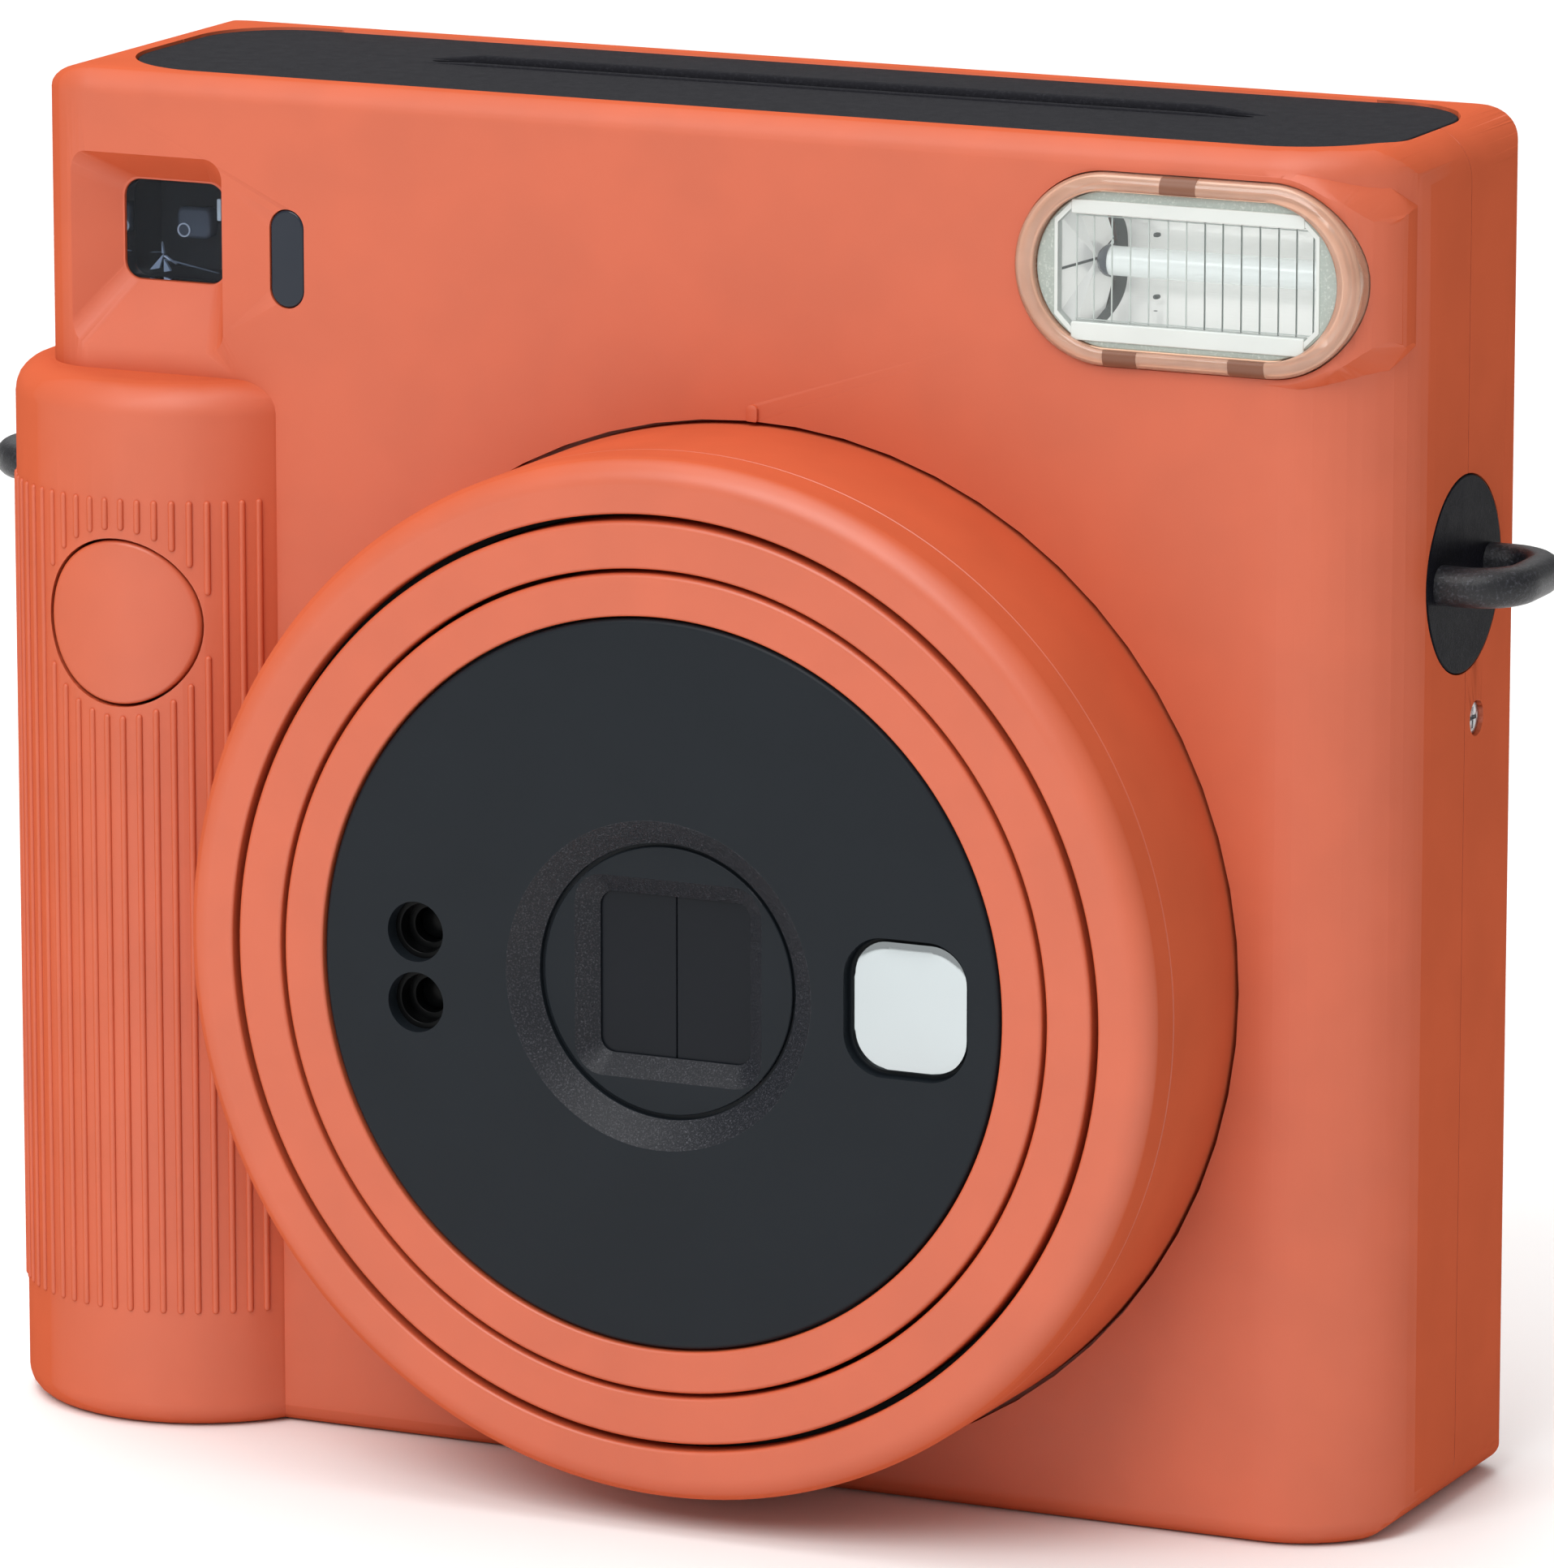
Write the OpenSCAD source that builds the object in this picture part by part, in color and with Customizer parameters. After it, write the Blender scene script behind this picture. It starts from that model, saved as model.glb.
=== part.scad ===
// Instant camera for square film, with a three-stage turning lens.
// Origin: bottom centre of the whole object. The lens looks along -Y.

/* [Body] */
// Width over the grip and the right side
total_w = 130.7; // [130:0.1:131.5]
// Height of the body
total_h = 118.6; // [118:0.1:120]
// Depth from the lens ring to the eyepiece
total_d = 57.5; // [57:0.1:58]
// Depth of the two shells, front face to rear face
shell_d = 33.4; // [33:0.1:34]
// How far the lens ring stands out of the front face
ring_proud = 18.2; // [17:0.1:18.5]
// Wall thickness of the shells
wall = 1.8; // [1.6:0.1:2]
// Depth at which the two shells meet
seam = 18.6; // [18:0.1:19]
// Step between the grip's side and the upper body's side
grip_step = 4.65; // [4:0.05:5]
// Radius of the front and rear edges
edge_r = 2.2; // [1.8:0.1:2.4]

/* [Grip] */
// Radius of the grip's rounded front
grip_r = 15.7; // [15.4:0.1:15.8]
// Height of the grip
grip_h = 92.5; // [90:0.5:93]
// Diameter of the shutter button
button_d = 14.3; // [13:0.1:14.5]
// Height of the shutter button's centre
button_z = 71.6; // [70:0.1:73]
// Travel of the shutter button
button_travel = 1.2; // [0.8:0.1:1.4]

/* [Lens] */
// Sideways place of the lens axis
lens_x = 7.8; // [7:0.1:8]
// Height of the lens axis
lens_z = 47.6; // [47:0.1:48]
// Radius of the turning ring
dial_r = 44.6; // [44:0.1:44.7]
// Outer radius of the first sliding barrel
outer_r = 39.4; // [39:0.1:39.5]
// Outer radius of the second sliding barrel
inner_r = 35.0; // [34.8:0.1:35.1]
// Radius of the black lens front
disc_r = 31.2; // [31:0.1:31.3]
// Width of the square lens opening
hood_w = 13.9; // [13:0.1:14.2]

/* [Flash] */
// Width of the flash bezel
flash_w = 31.0; // [30:0.1:31.2]
// Height of the flash bezel
flash_h = 16.4; // [16:0.1:16.6]
// Sideways place of the flash
flash_x = 47.7; // [47:0.1:48]
// Height of the flash
flash_z = 107.8; // [107:0.1:108]

/* [Film] */
// Width of the film pack
pack_w = 84; // [82:0.5:84]
// Height of the film pack
pack_h = 97; // [95:0.5:97]
// Thickness of the film pack
pack_t = 12.4; // [11:0.1:12.6]
// Radius of the two film rollers
roller_r = 3.0; // [2.8:0.1:3]
// Diameter of one battery
cell_d = 15.6; // [15:0.1:15.8]
// Length of one battery
cell_l = 27; // [26:0.1:27]

/* [Hidden] */

$fn = 64;
// Angular steps of the rounded posts that the shells are stretched over
post_fn = 48;
// A small overlap that makes a cut run clean through
eps = 0.5;

orange = "#e2653c";
black = "#2b2d30";
grey = "#8c9094";
face_y = ring_proud - total_d / 2;
right_x = total_w / 2;
left_x = -total_w / 2;
body_left = left_x + grip_step;
gap = 0.06;

// Grip: the axis of its rounded front, measured from the front face
grip_x = left_x + grip_r;
grip_y = 9.3;
grip_back = 31.5;
grip_fillet = 2.8;

// Depths behind the front face
panel_t = 1.4;
panel_floor = total_h - panel_t;
top_wall = 2.0;
cavity_top = panel_floor - top_wall;
film_plane = 19.0;
gate_y = 16.6;
pack_y = 18.2;
pack_z = 7;
roller_z = 109.3;
roller_pitch = 6.6;
front_roller_y = film_plane - roller_pitch / 2;
rear_roller_y = film_plane + roller_pitch / 2;
roller_left = lens_x - 38.8;
roller_right = lens_x + 38.8;
gear_x = 52.0;
gear_t = 1.6;
gear_mod = 0.55;
roller_teeth = 12;
idler_teeth = 24;
pinion_teeth = 10;
idler_z = roller_z - gear_mod * (roller_teeth + idler_teeth) / 2;
pinion_z = idler_z - gear_mod * (idler_teeth + pinion_teeth) / 2;

// Lens: radii of bores and depths of the ring's own pieces
dial_hole_r = 45.0;
dial_lip_r = 40.0;
dial_bore_r = 42.4;
flange_r = 45.7;
flange_y = wall + 0.1;
flange_t = 1.6;
barrel_tail = 5.0;
outer_lip_r = 35.4;
inner_lip_r = 31.4;
front_t = 1.8;
pin_angles = [30, 150, 270];
pin_travel = 8;
blade_y = -14.3;
hood_slope = 1.7;
hood_d = 1.5;
blade_t = 0.8;

// Door: opening in the rear shell and the plate over it
opening_x0 = -36.0;
opening_x1 = 51.4;
opening_z0 = 5.0;
opening_z1 = 105.6;
door_x0 = -41.0;
door_x1 = 56.6;
door_z0 = 3.4;
door_z1 = 113.0;
door_in = shell_d + 0.15;
door_out = 36.6;
hinge_x = 59.2;
hinge_y = 35.0;
hinge_r = 1.9;
hinge_pin_r = 0.8;
knuckles = [for (k = [0 : 4]) 12 + k * 19];

// Film slot in the top, and the latch at the door's free edge
film_exit_y = 17.6;
knuckle_h = 18.7;
latch_x = -47.0;
latch_z = 60;
latch_travel = 3.0;

// Strap lugs, pill window, button
lug_y = 18.1;
lug_z = 81.0;
lug_hole_r = 8.5;
lug_bar = 3.3;
lug_reach = 7.35;
lug_half = 7.2;
pill_x = -35.8;
pill_z = 103.3;
pill_w = 3.3;
pill_h = 8.6;
button_x = -49.3;

// Viewfinder: recess in the front shell and the tunnel behind it
finder_x = -48.2;
finder_z = 104.4;
finder_w = 9.8;
finder_h = 8.8;
recess_d = 3.0;

// Batteries: one above the other inside the grip
cell_x = -54.8;
cell_y = 14.2;
cell_z = 8;
battery_z0 = 6;
battery_z1 = 66;
battery_y0 = 5.6;
battery_y1 = 23.0;
battery_hinge_y = battery_y1 + 1.1;
screw_sink = 0.35;

// ---------- helpers ----------

// Moves a child from front-face depth to the object's frame
module behind_face() {
    translate([0, face_y, 0]) children();
}

// Stands a flat outline of X and Z in the front view, from depth y0 to y1
module front_plate(y0, y1) {
    translate([0, y1, 0]) rotate([90, 0, 0]) linear_extrude(y1 - y0) children();
}

module rounded_rect(x0, x1, z0, z1, r) {
    for (x = [x0 + r, x1 - r], z = [z0 + r, z1 - r]) translate([x, z]) circle(r);
    translate([x0 + r, z0]) square([x1 - x0 - 2 * r, z1 - z0]);
    translate([x0, z0 + r]) square([x1 - x0, z1 - z0 - 2 * r]);
}

module stadium(w, h) {
    for (s = [-1, 1]) translate([s * (w - h) / 2, 0]) circle(h / 2);
    translate([-(w - h) / 2, -h / 2]) square([w - h, h]);
}

// A cylinder along Y at a place in the front view, from depth y0 to y1
module along_y(x, z, r, y0, y1) {
    translate([x, y1, z]) rotate([90, 0, 0]) cylinder(r = r, h = y1 - y0);
}

// A cylinder along X at a depth and a height
module along_x(x0, x1, y, z, r) {
    translate([x0, y, z]) rotate([0, 90, 0]) cylinder(r = r, h = x1 - x0);
}

// A tube along Y around the lens axis
module lens_tube(r_in, r_out, y0, y1) {
    translate([lens_x, y1, lens_z]) rotate([90, 0, 0]) difference() {
        cylinder(r = r_out, h = y1 - y0, $fn = 128);
        translate([0, 0, -eps]) cylinder(r = r_in, h = y1 - y0 + 2 * eps, $fn = 128);
    }
}

module lens_disc(r, y0, y1) {
    along_y(lens_x, lens_z, r, y0, y1);
}

// A box from its two corners
module box(x0, x1, y0, y1, z0, z1) {
    translate([x0, y0, z0]) cube([x1 - x0, y1 - y0, z1 - z0]);
}

// A vertical post with rounded top and bottom edges
module post(x, y, r, z0, z1, f_low, f_high) {
    steps = 6;
    low = [for (i = [0 : steps]) let (a = 90 * i / steps)
        [r - f_low + f_low * sin(a), z0 + f_low - f_low * cos(a)]];
    high = [for (i = [0 : steps]) let (a = 90 * i / steps)
        [r - f_high + f_high * cos(a), z1 - f_high + f_high * sin(a)]];
    translate([x, y, 0]) rotate_extrude($fn = post_fn)
        polygon(concat([[0, z0]], low, high, [[0, z1]]));
}

// The body's outer form, or with an inset the space inside its walls
module body_form(inset, z0, z1, fillet) {
    x0 = body_left + inset;
    x1 = right_x - inset;
    y0 = inset;
    y1 = shell_d - inset;
    r_fl = 5.5 - inset;
    r_fr = 11 - inset;
    r_back = 5.2 - inset;
    hull() {
        post(x0 + r_fl, y0 + r_fl, r_fl, z0, z1, fillet, fillet);
        post(x1 - r_fr, y0 + r_fr, r_fr, z0, z1, fillet, fillet);
        post(x0 + r_back, y1 - r_back, r_back, z0, z1, fillet, fillet);
        post(x1 - r_back, y1 - r_back, r_back, z0, z1, fillet, fillet);
    }
}

// The grip's outer form, or with an inset the space inside its wall
module grip_form(inset, z0, z1, f_low, f_high) {
    back_r = 5.2 - inset;
    hull() {
        post(grip_x, grip_y, grip_r - inset, z0, z1, f_low, f_high);
        post(left_x + inset + back_r, grip_back - inset - back_r, back_r, z0, z1, f_low, f_high);
        post(-46, grip_back - inset - back_r, back_r, z0, z1, f_low, f_high);
    }
}

module shell_outside() {
    corner = 4.4;
    intersection() {
        body_form(0, 0, total_h, edge_r);
        front_plate(-eps, shell_d + eps)
            rounded_rect(body_left, right_x, 0, total_h, corner);
    }
    grip_form(0, 0, grip_h, edge_r, grip_fillet);
}

module shell_inside() {
    body_form(wall, wall, cavity_top, 0.3);
    grip_form(wall, wall, grip_h - wall, 0.3, 0.3);
}

module panel_outline(inset) {
    x0 = body_left + 5.2 + inset;
    x1 = right_x - 2.9 - inset;
    y0 = 2.3 + inset;
    y1 = shell_d - 3.6 - inset;
    r_front = 10;
    r_back = 8;
    for (x = [x0 + r_front, x1 - r_front]) translate([x, y0 + r_front]) circle(r_front);
    for (x = [x0 + r_back, x1 - r_back]) translate([x, y1 - r_back]) circle(r_back);
    translate([x0 + r_front, y0]) square([x1 - x0 - 2 * r_front, y1 - y0]);
    translate([x0, y0 + r_front]) square([x1 - x0, y1 - y0 - r_front - r_back]);
}

module gear(teeth, bore) {
    pitch_r = gear_mod * teeth / 2;
    root_r = pitch_r - 1.15 * gear_mod;
    tip_r = pitch_r + 0.9 * gear_mod;
    tooth_w = gear_mod * 1.35;
    difference() {
        union() {
            cylinder(r = root_r, h = gear_t);
            for (k = [0 : teeth - 1]) rotate([0, 0, 360 * k / teeth])
                linear_extrude(gear_t) polygon([
                    [root_r - 0.2, -tooth_w / 2], [pitch_r, -tooth_w * 0.36],
                    [tip_r, -tooth_w * 0.16], [tip_r, tooth_w * 0.16],
                    [pitch_r, tooth_w * 0.36], [root_r - 0.2, tooth_w / 2]]);
        }
        translate([0, 0, -eps]) cylinder(r = bore, h = gear_t + 2 * eps);
    }
}

module gear_along_x(teeth, bore, y, z, turn) {
    translate([gear_x, y, z]) rotate([0, 90, 0]) rotate([0, 0, turn]) gear(teeth, bore);
}

// ---------- shells ----------

// Knuckles of the battery door: the cover's are 0, the door's are 1
module battery_knuckles(which) {
    starts = which == 0 ? [battery_z0 + 2, battery_z1 - 10] : [battery_z0 + 10.2];
    length = which == 0 ? 8 : battery_z1 - battery_z0 - 20.4;
    for (z = starts) difference() {
        union() {
            translate([left_x - 0.3, battery_hinge_y, z]) cylinder(r = 1.3, h = length);
            if (which == 0)
                box(left_x - 0.3, left_x + 1.0, battery_hinge_y, battery_hinge_y + 1.6, z, z + length);
            else
                box(left_x - 0.3, left_x + 0.5, battery_hinge_y - 2.0, battery_hinge_y, z, z + length);
        }
        translate([left_x - 0.3, battery_hinge_y, z - eps]) cylinder(r = 0.62, h = length + 2 * eps);
    }
}

// Space in the rear shell for the door's knuckle to turn in
module battery_knuckle_room() {
    translate([left_x - 0.3, battery_hinge_y, battery_z0])
        cylinder(r = 1.55, h = battery_z1 - battery_z0);
}

module battery_doorway(clear) {
    box(left_x - eps, left_x + wall + eps, battery_y0 - clear, battery_y1 + clear,
        battery_z0 - clear, battery_z1 + clear);
}

module finder_recess() {
    hull() {
        for (x = [-55.4, -43.85], z = [96.3, 109.6]) along_y(x, z, 1.8, -eps, 0);
        for (x = [-51.65, -44.75], z = [101.45, 107.35]) along_y(x, z, 1.6, -eps, recess_d);
    }
}

// Swelling that carries the flash past the shell's rounded corner
module flash_collar() {
    corner = 6;
    intersection() {
        hull() {
            front_plate(0, 0.1) flash_outline(0.9);
            front_plate(0.4, 0.5) flash_outline(2.0);
            front_plate(5.0, 9.0) flash_outline(6.5);
        }
        hull() for (x = [30, right_x - 0.25 - corner])
            post(x, corner, corner, 60, total_h, 1, edge_r);
    }
}

module flash_outline(grow) {
    translate([flash_x, flash_z]) stadium(flash_w + grow, flash_h + grow);
}

module shell_cuts() {
    translate([0, 0, panel_floor]) linear_extrude(panel_t + eps) panel_outline(0);
    box(roller_left - 0.4, roller_right + 0.4, 15.6, 20.4, cavity_top - eps, panel_floor + eps);
    battery_doorway(0);
    for (side = [left_x, right_x]) along_x(side - 5.2, side + 5.2, lug_y, lug_z, lug_hole_r);
}

module front_cover() color(orange) behind_face() {
    difference() {
        union() {
            intersection() {
                difference() {
                    union() {
                        shell_outside();
                        flash_collar();
                    }
                    shell_inside();
                }
                box(left_x - 1, right_x + 1, -20, seam, -1, total_h + 1);
            }
            // thicker wall behind the viewfinder recess
            intersection() {
                shell_outside();
                box(-59.2, -40.4, 0.4, recess_d + 1.6, 92.6, 113.4);
            }
            // raised index mark over the ring
            front_plate(-0.35, 0.2) rounded_rect(lens_x - 0.1, lens_x + 0.9, 92.4, 94.0, 0.45);
        }
        finder_recess();
        front_plate(recess_d - eps, recess_d + 3)
            rounded_rect(finder_x - finder_w / 2, finder_x + finder_w / 2,
                finder_z - finder_h / 2, finder_z + finder_h / 2, 1.6);
        lens_disc(dial_hole_r, -eps, wall + eps);
        front_plate(-eps, 12) translate([flash_x, flash_z]) stadium(flash_w, flash_h);
        front_plate(-eps, wall + eps) translate([pill_x, pill_z]) rotate(90)
            stadium(pill_h, pill_w);
        along_y(button_x, button_z, button_d / 2 + 0.25, -10, 4);
        shell_cuts();
    }
}

module rear_cover() color(orange) behind_face() {
    difference() {
        union() {
            intersection() {
                difference() {
                    shell_outside();
                    shell_inside();
                }
                box(left_x - 1, right_x + 1, seam + 0.1, shell_d + 1, -1, total_h + 1);
            }
            for (k = [0, 2, 4]) translate([hinge_x, hinge_y, knuckles[k]])
                cylinder(r = hinge_r, h = knuckle_h);
            for (k = [0, 2, 4]) box(hinge_x - hinge_r, hinge_x + hinge_r,
                shell_d - 1, hinge_y, knuckles[k], knuckles[k] + knuckle_h);
        }
        front_plate(shell_d - 4, shell_d + eps)
            rounded_rect(opening_x0, opening_x1, opening_z0, opening_z1, 2.5);
        for (k = [1, 3]) box(hinge_x - hinge_r - 0.5, hinge_x + hinge_r + 0.5,
            shell_d - 0.8, shell_d + eps, knuckles[k] - 0.5, knuckles[k] + knuckle_h + 0.5);
        translate([hinge_x, hinge_y, knuckles[0] - eps])
            cylinder(r = hinge_pin_r + 0.02, h = 200);
        front_plate(shell_d - 4, shell_d + eps)
            rounded_rect(finder_x - 5.4, finder_x + 5.4, finder_z - 5, finder_z + 5, 1.8);
        box(latch_x - 4.6, latch_x + 1.4, shell_d - 4, shell_d + eps, latch_z - 5, latch_z + 5);
        shell_cuts();
        screw_places() {
            translate([0, 0, -eps]) cylinder(r = 1.55, h = screw_sink + 0.9 + eps);
            cylinder(r = 0.9, h = 6);
        }
        battery_knuckle_room();
    }
    battery_knuckles(0);
}

// Puts a child at each cover screw: Z runs from the surface into the camera
module screw_places() {
    translate([right_x, 21.4, 68.1]) rotate([0, -90, 0]) children();
    for (x = [-30, 44]) translate([x, 25.2, 0]) children();
}

module cover_screws() color(grey) behind_face() screw_places() {
    difference() {
        translate([0, 0, screw_sink]) cylinder(r = 1.35, h = 0.8);
        for (turn = [0, 90]) rotate([0, 0, turn])
            translate([-0.9, -0.18, screw_sink - eps]) cube([1.8, 0.36, eps + 0.45]);
    }
    translate([0, 0, screw_sink + 0.8]) cylinder(r = 0.8, h = 3.2);
}

module top_panel() color(black) behind_face() {
    difference() {
        union() {
            translate([0, 0, panel_floor + 0.02]) linear_extrude(panel_t - 0.22) panel_outline(0.12);
            // raised lips along the film slot
            translate([lens_x, film_exit_y, total_h - 1]) linear_extrude(0.8)
                stadium(2 * 38.8 + 1, 3.8);
        }
        translate([lens_x, film_exit_y, panel_floor - eps]) linear_extrude(4)
            stadium(2 * 38.0, 1.5);
    }
}

module lug(side) {
    color(black) behind_face() mirror([side < 0 ? 1 : 0, 0, 0]) {
        along_x(right_x - 1.8, right_x + 0.2, lug_y, lug_z, lug_hole_r - 0.1);
        along_x(right_x - 3.2, right_x - 1.9, lug_y, lug_z, lug_hole_r - 2);
        translate([right_x + 0.2, lug_y, lug_z]) difference() {
            translate([0, 0, -lug_bar / 2]) linear_extrude(lug_bar) intersection() {
                rounded_rect(-lug_reach, lug_reach, -lug_half, lug_half, 4);
                translate([0, -lug_half]) square([lug_reach, 2 * lug_half]);
            }
            translate([0, 0, -lug_bar]) linear_extrude(2 * lug_bar)
                rounded_rect(0.1, lug_reach - 3.0, -lug_half + 3.0, lug_half - 3.0, 1.2);
        }
    }
}

module lug_right() lug(1);
module lug_left() lug(-1);

// ---------- lens ----------

// The dial: a rounded front edge, a fine parting line, and a flange behind the shell's wall
module lens_dial() color(orange) behind_face() {
    fillet = 2.2;
    steps = 8;
    line_y = -13;
    edge = [for (i = [0 : steps]) let (a = 90 * i / steps)
        [dial_r - fillet + fillet * sin(a), ring_proud - fillet + fillet * cos(a)]];
    translate([lens_x, 0, lens_z]) rotate([90, 0, 0]) rotate_extrude($fn = 144) polygon(concat(
        [[dial_lip_r, ring_proud]], edge,
        [[dial_r, -line_y + 0.12], [dial_r - 0.14, -line_y], [dial_r, -line_y - 0.12],
        [dial_r, -flange_y], [flange_r, -flange_y], [flange_r, -flange_y - flange_t],
        [dial_bore_r, -flange_y - flange_t], [dial_bore_r, ring_proud - 2],
        [dial_lip_r, ring_proud - 2]]));
}

// The fixed sleeve that the dial turns on and the outer barrel slides in
module guide_sleeve() color(black) behind_face() {
    difference() {
        union() {
            lens_tube(outer_r + 0.08, dial_bore_r - 0.08, -15.4, 6.0);
            intersection() {
                lens_tube(outer_r + 0.08, 48.4, 4.2, 6.0);
                box(left_x, right_x, 4, 7, wall + 0.2, total_h);
            }
        }
        for (a = pin_angles) translate([lens_x, 0, lens_z]) rotate([0, a, 0])
            box(outer_r - 1, dial_bore_r + 1, -7.5, 3.6, -1.4, 1.4);
    }
}

module outer_barrel() color(orange) behind_face() {
    lens_tube(outer_lip_r, outer_r, -ring_proud, -ring_proud + front_t);
    lens_tube(outer_r - 1.8, outer_r, -ring_proud + front_t, barrel_tail);
}

// Three pins on the outer barrel, which run in the sleeve's slots
module cam_pins() color(grey) behind_face() {
    for (a = pin_angles) translate([lens_x, 0, lens_z]) rotate([0, a, 0])
        along_x(outer_r + 0.03, dial_bore_r - 0.6, 2.1, 0, 1.2);
}

module inner_barrel() color(orange) behind_face() {
    lens_tube(inner_lip_r, inner_r, -ring_proud, -ring_proud + 1.6);
    lens_tube(inner_r - 1.6, inner_r, -ring_proud + 1.6, barrel_tail);
    lens_tube(inner_r, outer_r - 1.88, barrel_tail - 2, barrel_tail);
}

module sensor_places() {
    for (z = [44.0, 50.1]) translate([lens_x - 22.6, 0, z]) children();
}

module mirror_outline(clear) {
    rounded_rect(lens_x + 17.5 - clear, lens_x + 27.9 + clear, 42.3 - clear, 53.3 + clear, 3.2);
}

// The black front: cone, square hood, two sensor eyes and the mirror's pocket
module face_disc() color(black) behind_face() {
    front = -ring_proud + 0.15;
    floor_y = front + 2.0;
    cone_r = 14.1;
    cone_low_r = 11.8;
    difference() {
        union() {
            lens_disc(disc_r, front, -ring_proud + 1.7);
            lens_disc(inner_r - 1.7, -ring_proud + 1.7, -ring_proud + 3.0);
            lens_disc(16.5, -ring_proud + 3.0, blade_y - 0.1);
        }
        translate([lens_x, floor_y, lens_z]) rotate([90, 0, 0])
            cylinder(r1 = cone_low_r, r2 = cone_r + 0.4 , h = 2.0 + 0.35);
        hull() {
            front_plate(floor_y - 0.02, floor_y) hood_outline(hood_w / 2 + hood_slope);
            front_plate(floor_y + hood_d, floor_y + hood_d + 0.02) hood_outline(hood_w / 2);
        }
        front_plate(floor_y, blade_y) hood_outline(hood_w / 2);
        front_plate(front - eps, front + 1.35) mirror_outline(0.35);
        sensor_places() {
            rotate([-90, 0, 0]) {
                translate([0, 0, front - eps]) cylinder(r = 2.6, h = eps + 1.2);
                translate([0, 0, front]) cylinder(r = 1.9, h = 2.2);
                translate([0, 0, front]) cylinder(r = 1.3, h = 6);
            }
        }
    }
}

module hood_outline(half) {
    rounded_rect(lens_x - half, lens_x + half, lens_z - half, lens_z + half, 1.4);
}

module selfie_mirror() color("#d6dde2") behind_face()
    front_plate(-ring_proud + 0.65, -ring_proud + 1.45) mirror_outline(0);

module sensor_lenses() color("#15171a") behind_face() sensor_places()
    rotate([-90, 0, 0]) translate([0, 0, -ring_proud + 2.4]) cylinder(r = 1.27, h = 0.8);

// One of the two blades that cover the lens; side is -1 or 1
module barrier(side) {
    color(black) behind_face()
        translate([lens_x, 0, 0]) mirror([side < 0 ? 1 : 0, 0, 0])
            box(0.03, 8.4, blade_y, blade_y + blade_t, lens_z - 8, lens_z + 8);
}

module barrier_left() barrier(-1);
module barrier_right() barrier(1);

// Spider and tube that hold the glass inside the inner barrel
module lens_mount() color(black) behind_face() {
    lens_tube(9.0, 10.4, blade_y + blade_t + 0.3, 3.0);
    difference() {
        lens_tube(10.4, inner_r - 1.65, -4, -2.4);
        for (a = [20, 140, 260]) translate([lens_x, 0, lens_z]) rotate([0, a, 0])
            along_y(22, 0, 6.5, -5, -1);
    }
}

// A lens with one domed face towards the front
module lens(r, y0, y1, dome) {
    sphere_r = (r * r + dome * dome) / (2 * dome);
    translate([lens_x, y1, lens_z]) rotate([90, 0, 0]) intersection() {
        cylinder(r = r, h = y1 - y0);
        translate([0, 0, y1 - y0 - sphere_r]) sphere(sphere_r, $fn = 96);
    }
}

module front_lens() color("#9fb4c4") behind_face() lens(8.95, -10.6, -7.4, 1.6);
module rear_lens() color("#9fb4c4") behind_face() lens(8.95, -1.2, 1.6, 1.0);

module shutter_block() color(black) behind_face() {
    lens_tube(3.4, 8.95, -7.0, -5.0);
    lens_tube(2.6, 8.95, -4.9, -4.4);
}

// ---------- shutter button ----------

module shutter_button() color(orange) behind_face() {
    intersection() {
        grip_form(0.05, 0, grip_h, edge_r, grip_fillet);
        along_y(button_x, button_z, button_d / 2, -8, 0.4);
    }
    along_y(button_x, button_z, button_d / 2 + 0.9, 0.4, 1.3);
    along_y(button_x, button_z, 2, 1.3, 2.9);
}

module shutter_switch() color(grey) behind_face() {
    along_y(button_x, button_z, 1.5, 4.3, 4.8);
    box(button_x - 3, button_x + 3, 4.8, 6.6, button_z - 3, button_z + 3);
    box(button_x - 11.5, button_x + 8.5, 6.6, 7.8, button_z - 4.4, button_z + 5.2);
}

// ---------- flash ----------

module flash_bezel() color("#e9c3ae") behind_face() {
    difference() {
        union() {
            front_plate(-0.6, 4.5) translate([flash_x, flash_z]) stadium(flash_w - 0.2, flash_h - 0.2);
            front_plate(-1.1, -0.6) translate([flash_x, flash_z]) stadium(flash_w - 1, flash_h - 1);
        }
        front_plate(-1.1 - eps, 0.6) translate([flash_x, flash_z])
            stadium(flash_w - 3.6, flash_h - 3.6);
        front_plate(0.5, 4.5 + eps) translate([flash_x, flash_z])
            stadium(flash_w - 1.5, flash_h - 1.5);
    }
}

module flash_window() color("#e6efe9") behind_face()
    front_plate(-0.6, 0.5) translate([flash_x, flash_z]) stadium(flash_w - 3.7, flash_h - 3.7);

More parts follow.
